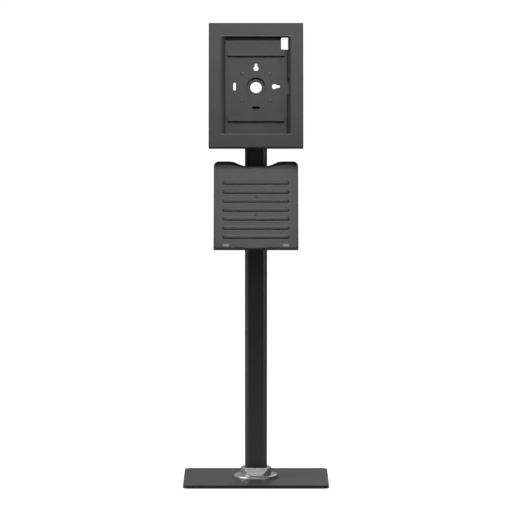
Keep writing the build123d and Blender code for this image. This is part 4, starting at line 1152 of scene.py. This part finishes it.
hub_circle = 19.4
mount_square = (-37.5, 37.5)
clamp_places = [(side * 45.1, height) for side in (-1, 1) for height in (747.48, 777.48)]
screw_sets = {
    "post_screws": (
        "stand",
        [(MM * Vector((side * 15.0, 28.0, 30.0)), REAR) for side in (-1, 1)],
        size_screw(head=(5.0, 3.5), shaft=(3.0, 9.5), pitch=1.0, seed=11),
    ),
    "yoke_screws": (
        "stand",
        [(MM * Vector((side * 30.5, 0.0, 1027.0)), side * RIGHT) for side in (-1, 1)],
        size_screw(head=(4.5, 2.4), shaft=(2.5, 10.5), pitch=0.8, seed=12),
    ),
    "tilt_bolts": (
        "stand",
        [(MM * Vector((side * 35.55, 0.0, PIVOT.z)), side * RIGHT) for side in (-1, 1)],
        size_screw(head=(7.0, 4.5), shaft=(4.0, 17.55), pitch=1.25, seed=13),
    ),
    "retainer_screws": (
        "tilt_head",
        [
            (on_head(hub_circle * math.cos(at), hub_circle * math.sin(at), -9.4), HEAD_OUT)
            for at in (math.radians(90.0), math.radians(210.0), math.radians(330.0))
        ],
        size_screw(head=(2.6, 1.4), shaft=(1.5, 6.5), pitch=0.5, seed=14),
    ),
    "vesa_screws": (
        "enclosure",
        [(on_head(x, y, 1.5), HEAD_OUT) for x in mount_square for y in mount_square],
        size_screw(head=(4.8, 2.4), shaft=(2.0, 6.5), pitch=0.7, seed=15),
    ),
    "cam_screw": (
        "lock",
        [(on_head(-112.3, 0.0, 11.0), RIGHT)],
        size_screw(head=(2.6, 1.3), shaft=(1.5, 6.0), pitch=0.5, seed=16),
    ),
    "clamp_bolts": (
        "tray_carriage",
        [(MM * Vector((x, -6.0, z)), -REAR) for x, z in clamp_places],
        size_screw(head=(5.0, 5.0), shaft=(3.0, 19.0), pitch=1.0, seed=17),
    ),
    "tray_screws": (
        "tray",
        [(on_tray(0.0, up, 0.0), TRAY_OUT) for up in (-22.4, 28.4)],
        size_screw(head=(3.8, 2.0), shaft=(2.0, 7.5), pitch=0.7, seed=18),
    ),
    "tray_pivot_bolt": (
        "tray",
        [(on_tray(20.5, 0.0, -22.0), RIGHT)],
        size_screw(head=(7.0, 4.5), shaft=(4.0, 47.0), pitch=1.25, seed=19),
    ),
}
print("screw sets:", len(screw_sets))

# %% [markdown]
# Each set becomes one piece that rides on the body of its CAD node and replaces the plain screws
# of that node. Placing every screw by hand would be slower and would let them drift apart, so
# one function makes the sets, the screws now and the nuts after them.

# %% Turn the screws
def turn_fasteners(tree, sets):
    for node, (body, places, sizes) in sets.items():
        piece = make_piece(
            node + "_turned", body, tree, places, sizes, oxide, "black_oxide_steel", node
        )
        print(piece.name, len(piece.data.polygons), "faces on", body)


turn_fasteners(screw_tree, screw_sets)

# %% [markdown]
# The nuts sit on the inner faces of the yoke, behind the clamp's flanges and at the far end of
# the tray's pivot. Their tree takes the same kind of places, so the same function turns them.

# %% Nuts
def size_nut(corner, bore, height, seed):
    return {
        "Corner radius": corner * MM,
        "Bore radius": bore * MM,
        "Height": height * MM,
        "Seed": seed,
    }


nut_sets = {
    "tilt_nuts": (
        "stand",
        [(MM * Vector((side * 18.0, 0.0, PIVOT.z)), side * RIGHT) for side in (-1, 1)],
        size_nut(corner=7.4, bore=4.02, height=6.0, seed=21),
    ),
    "clamp_nuts": (
        "tray_carriage",
        [(MM * Vector((x, 6.0, z)), REAR) for x, z in clamp_places],
        size_nut(corner=5.6, bore=3.02, height=5.0, seed=22),
    ),
    "tray_pivot_nut": (
        "tray",
        [(on_tray(-20.5, 0.0, -22.0), -RIGHT)],
        size_nut(corner=7.4, bore=4.02, height=6.0, seed=23),
    ),
}
turn_fasteners(nut_tree, nut_sets)

# %% [markdown]
# The window's upper and lower edges are hemmed: the sheet is folded back on itself, so no raw
# edge touches the glass. The fold catches the light as a thin light line, which the beads paint
# in a light grey. The tree bends a line across the window into a bead with round ends, and takes
# its length and radius as sizes.

# %% Window hem tree
HEM_STEPS = 41
HEM_SIDES = 16
TAPER_RADII = 6.0
TIP_SHARE = 0.02
hem_tree, hem_in, hem_out = geometry_tree("window_hem", {"Length": 0.2, "Radius": 0.0015})
hem = partial(calc, hem_tree)
hem_length = hem_in.outputs["Length"]
hem_radius = hem_in.outputs["Radius"]
hem_ends = [
    add_node(hem_tree, "ShaderNodeCombineXYZ", {"X": hem("MULTIPLY", hem_length, share)})
    for share in (-0.5, 0.5)
]
hem_line = add_node(
    hem_tree,
    "GeometryNodeCurvePrimitiveLine",
    {"Start": hem_ends[0].outputs["Vector"], "End": hem_ends[1].outputs["Vector"]},
)
hem_steps = add_node(
    hem_tree,
    "GeometryNodeResampleCurve",
    {"Curve": hem_line.outputs["Curve"], "Count": HEM_STEPS},
)
hem_along = add_node(hem_tree, "GeometryNodeSplineParameter").outputs["Length"]
to_end = hem("MINIMUM", hem_along, hem("SUBTRACT", hem_length, hem_along))
taper_length = hem("MULTIPLY", hem_radius, TAPER_RADII)
end_taper = hem("SQRT", hem("DIVIDE", to_end, taper_length, clamp=True))
tapered = add_node(
    hem_tree,
    "GeometryNodeSetCurveRadius",
    {"Curve": hem_steps.outputs["Curve"], "Radius": hem("MAXIMUM", end_taper, TIP_SHARE)},
)
hem_section = add_node(
    hem_tree, "GeometryNodeCurvePrimitiveCircle", {"Resolution": HEM_SIDES, "Radius": hem_radius}
)
hem_bead = add_node(
    hem_tree,
    "GeometryNodeCurveToMesh",
    {
        "Curve": tapered.outputs["Curve"],
        "Profile Curve": hem_section.outputs["Curve"],
        "Fill Caps": True,
    },
)
hem_smooth = add_node(
    hem_tree,
    "GeometryNodeSetShadeSmooth",
    {"Geometry": hem_bead.outputs["Mesh"], "Shade Smooth": True},
)
hem_copies = add_node(
    hem_tree,
    "GeometryNodeInstanceOnPoints",
    {"Points": hem_in.outputs["Places"], "Instance": hem_smooth.outputs["Geometry"]},
)
send_out(hem_tree, hem_in, hem_out, hem_copies.outputs["Instances"])
print("hem tree:", len(hem_tree.nodes), "nodes")

# %% [markdown]
# The hem is one piece of two beads, above and below the window. It stands on the front frame's
# outer face and rides on the lid's body. Bending the CAD sheet itself would change a node that
# has to stay as it is.

# %% Window hem
# The beads wear the light hem coat, which paints the fold's highlight.
window_hem = make_piece(
    "window_hem",
    "lid",
    hem_tree,
    [(on_head(0.0, up, 26.6), HEAD_OUT) for up in (135.6, -135.6)],
    {"Length": 0.197, "Radius": 0.0014},
    hem_coat_painted_highlight,
    "grey_powder_coat",
)
print(window_hem.name, len(window_hem.data.polygons), "faces")

# %% [markdown]
# The plain Standard view keeps the finishes' tones as they are set.

# %% View transform
scene.view_settings.view_transform = "Standard"
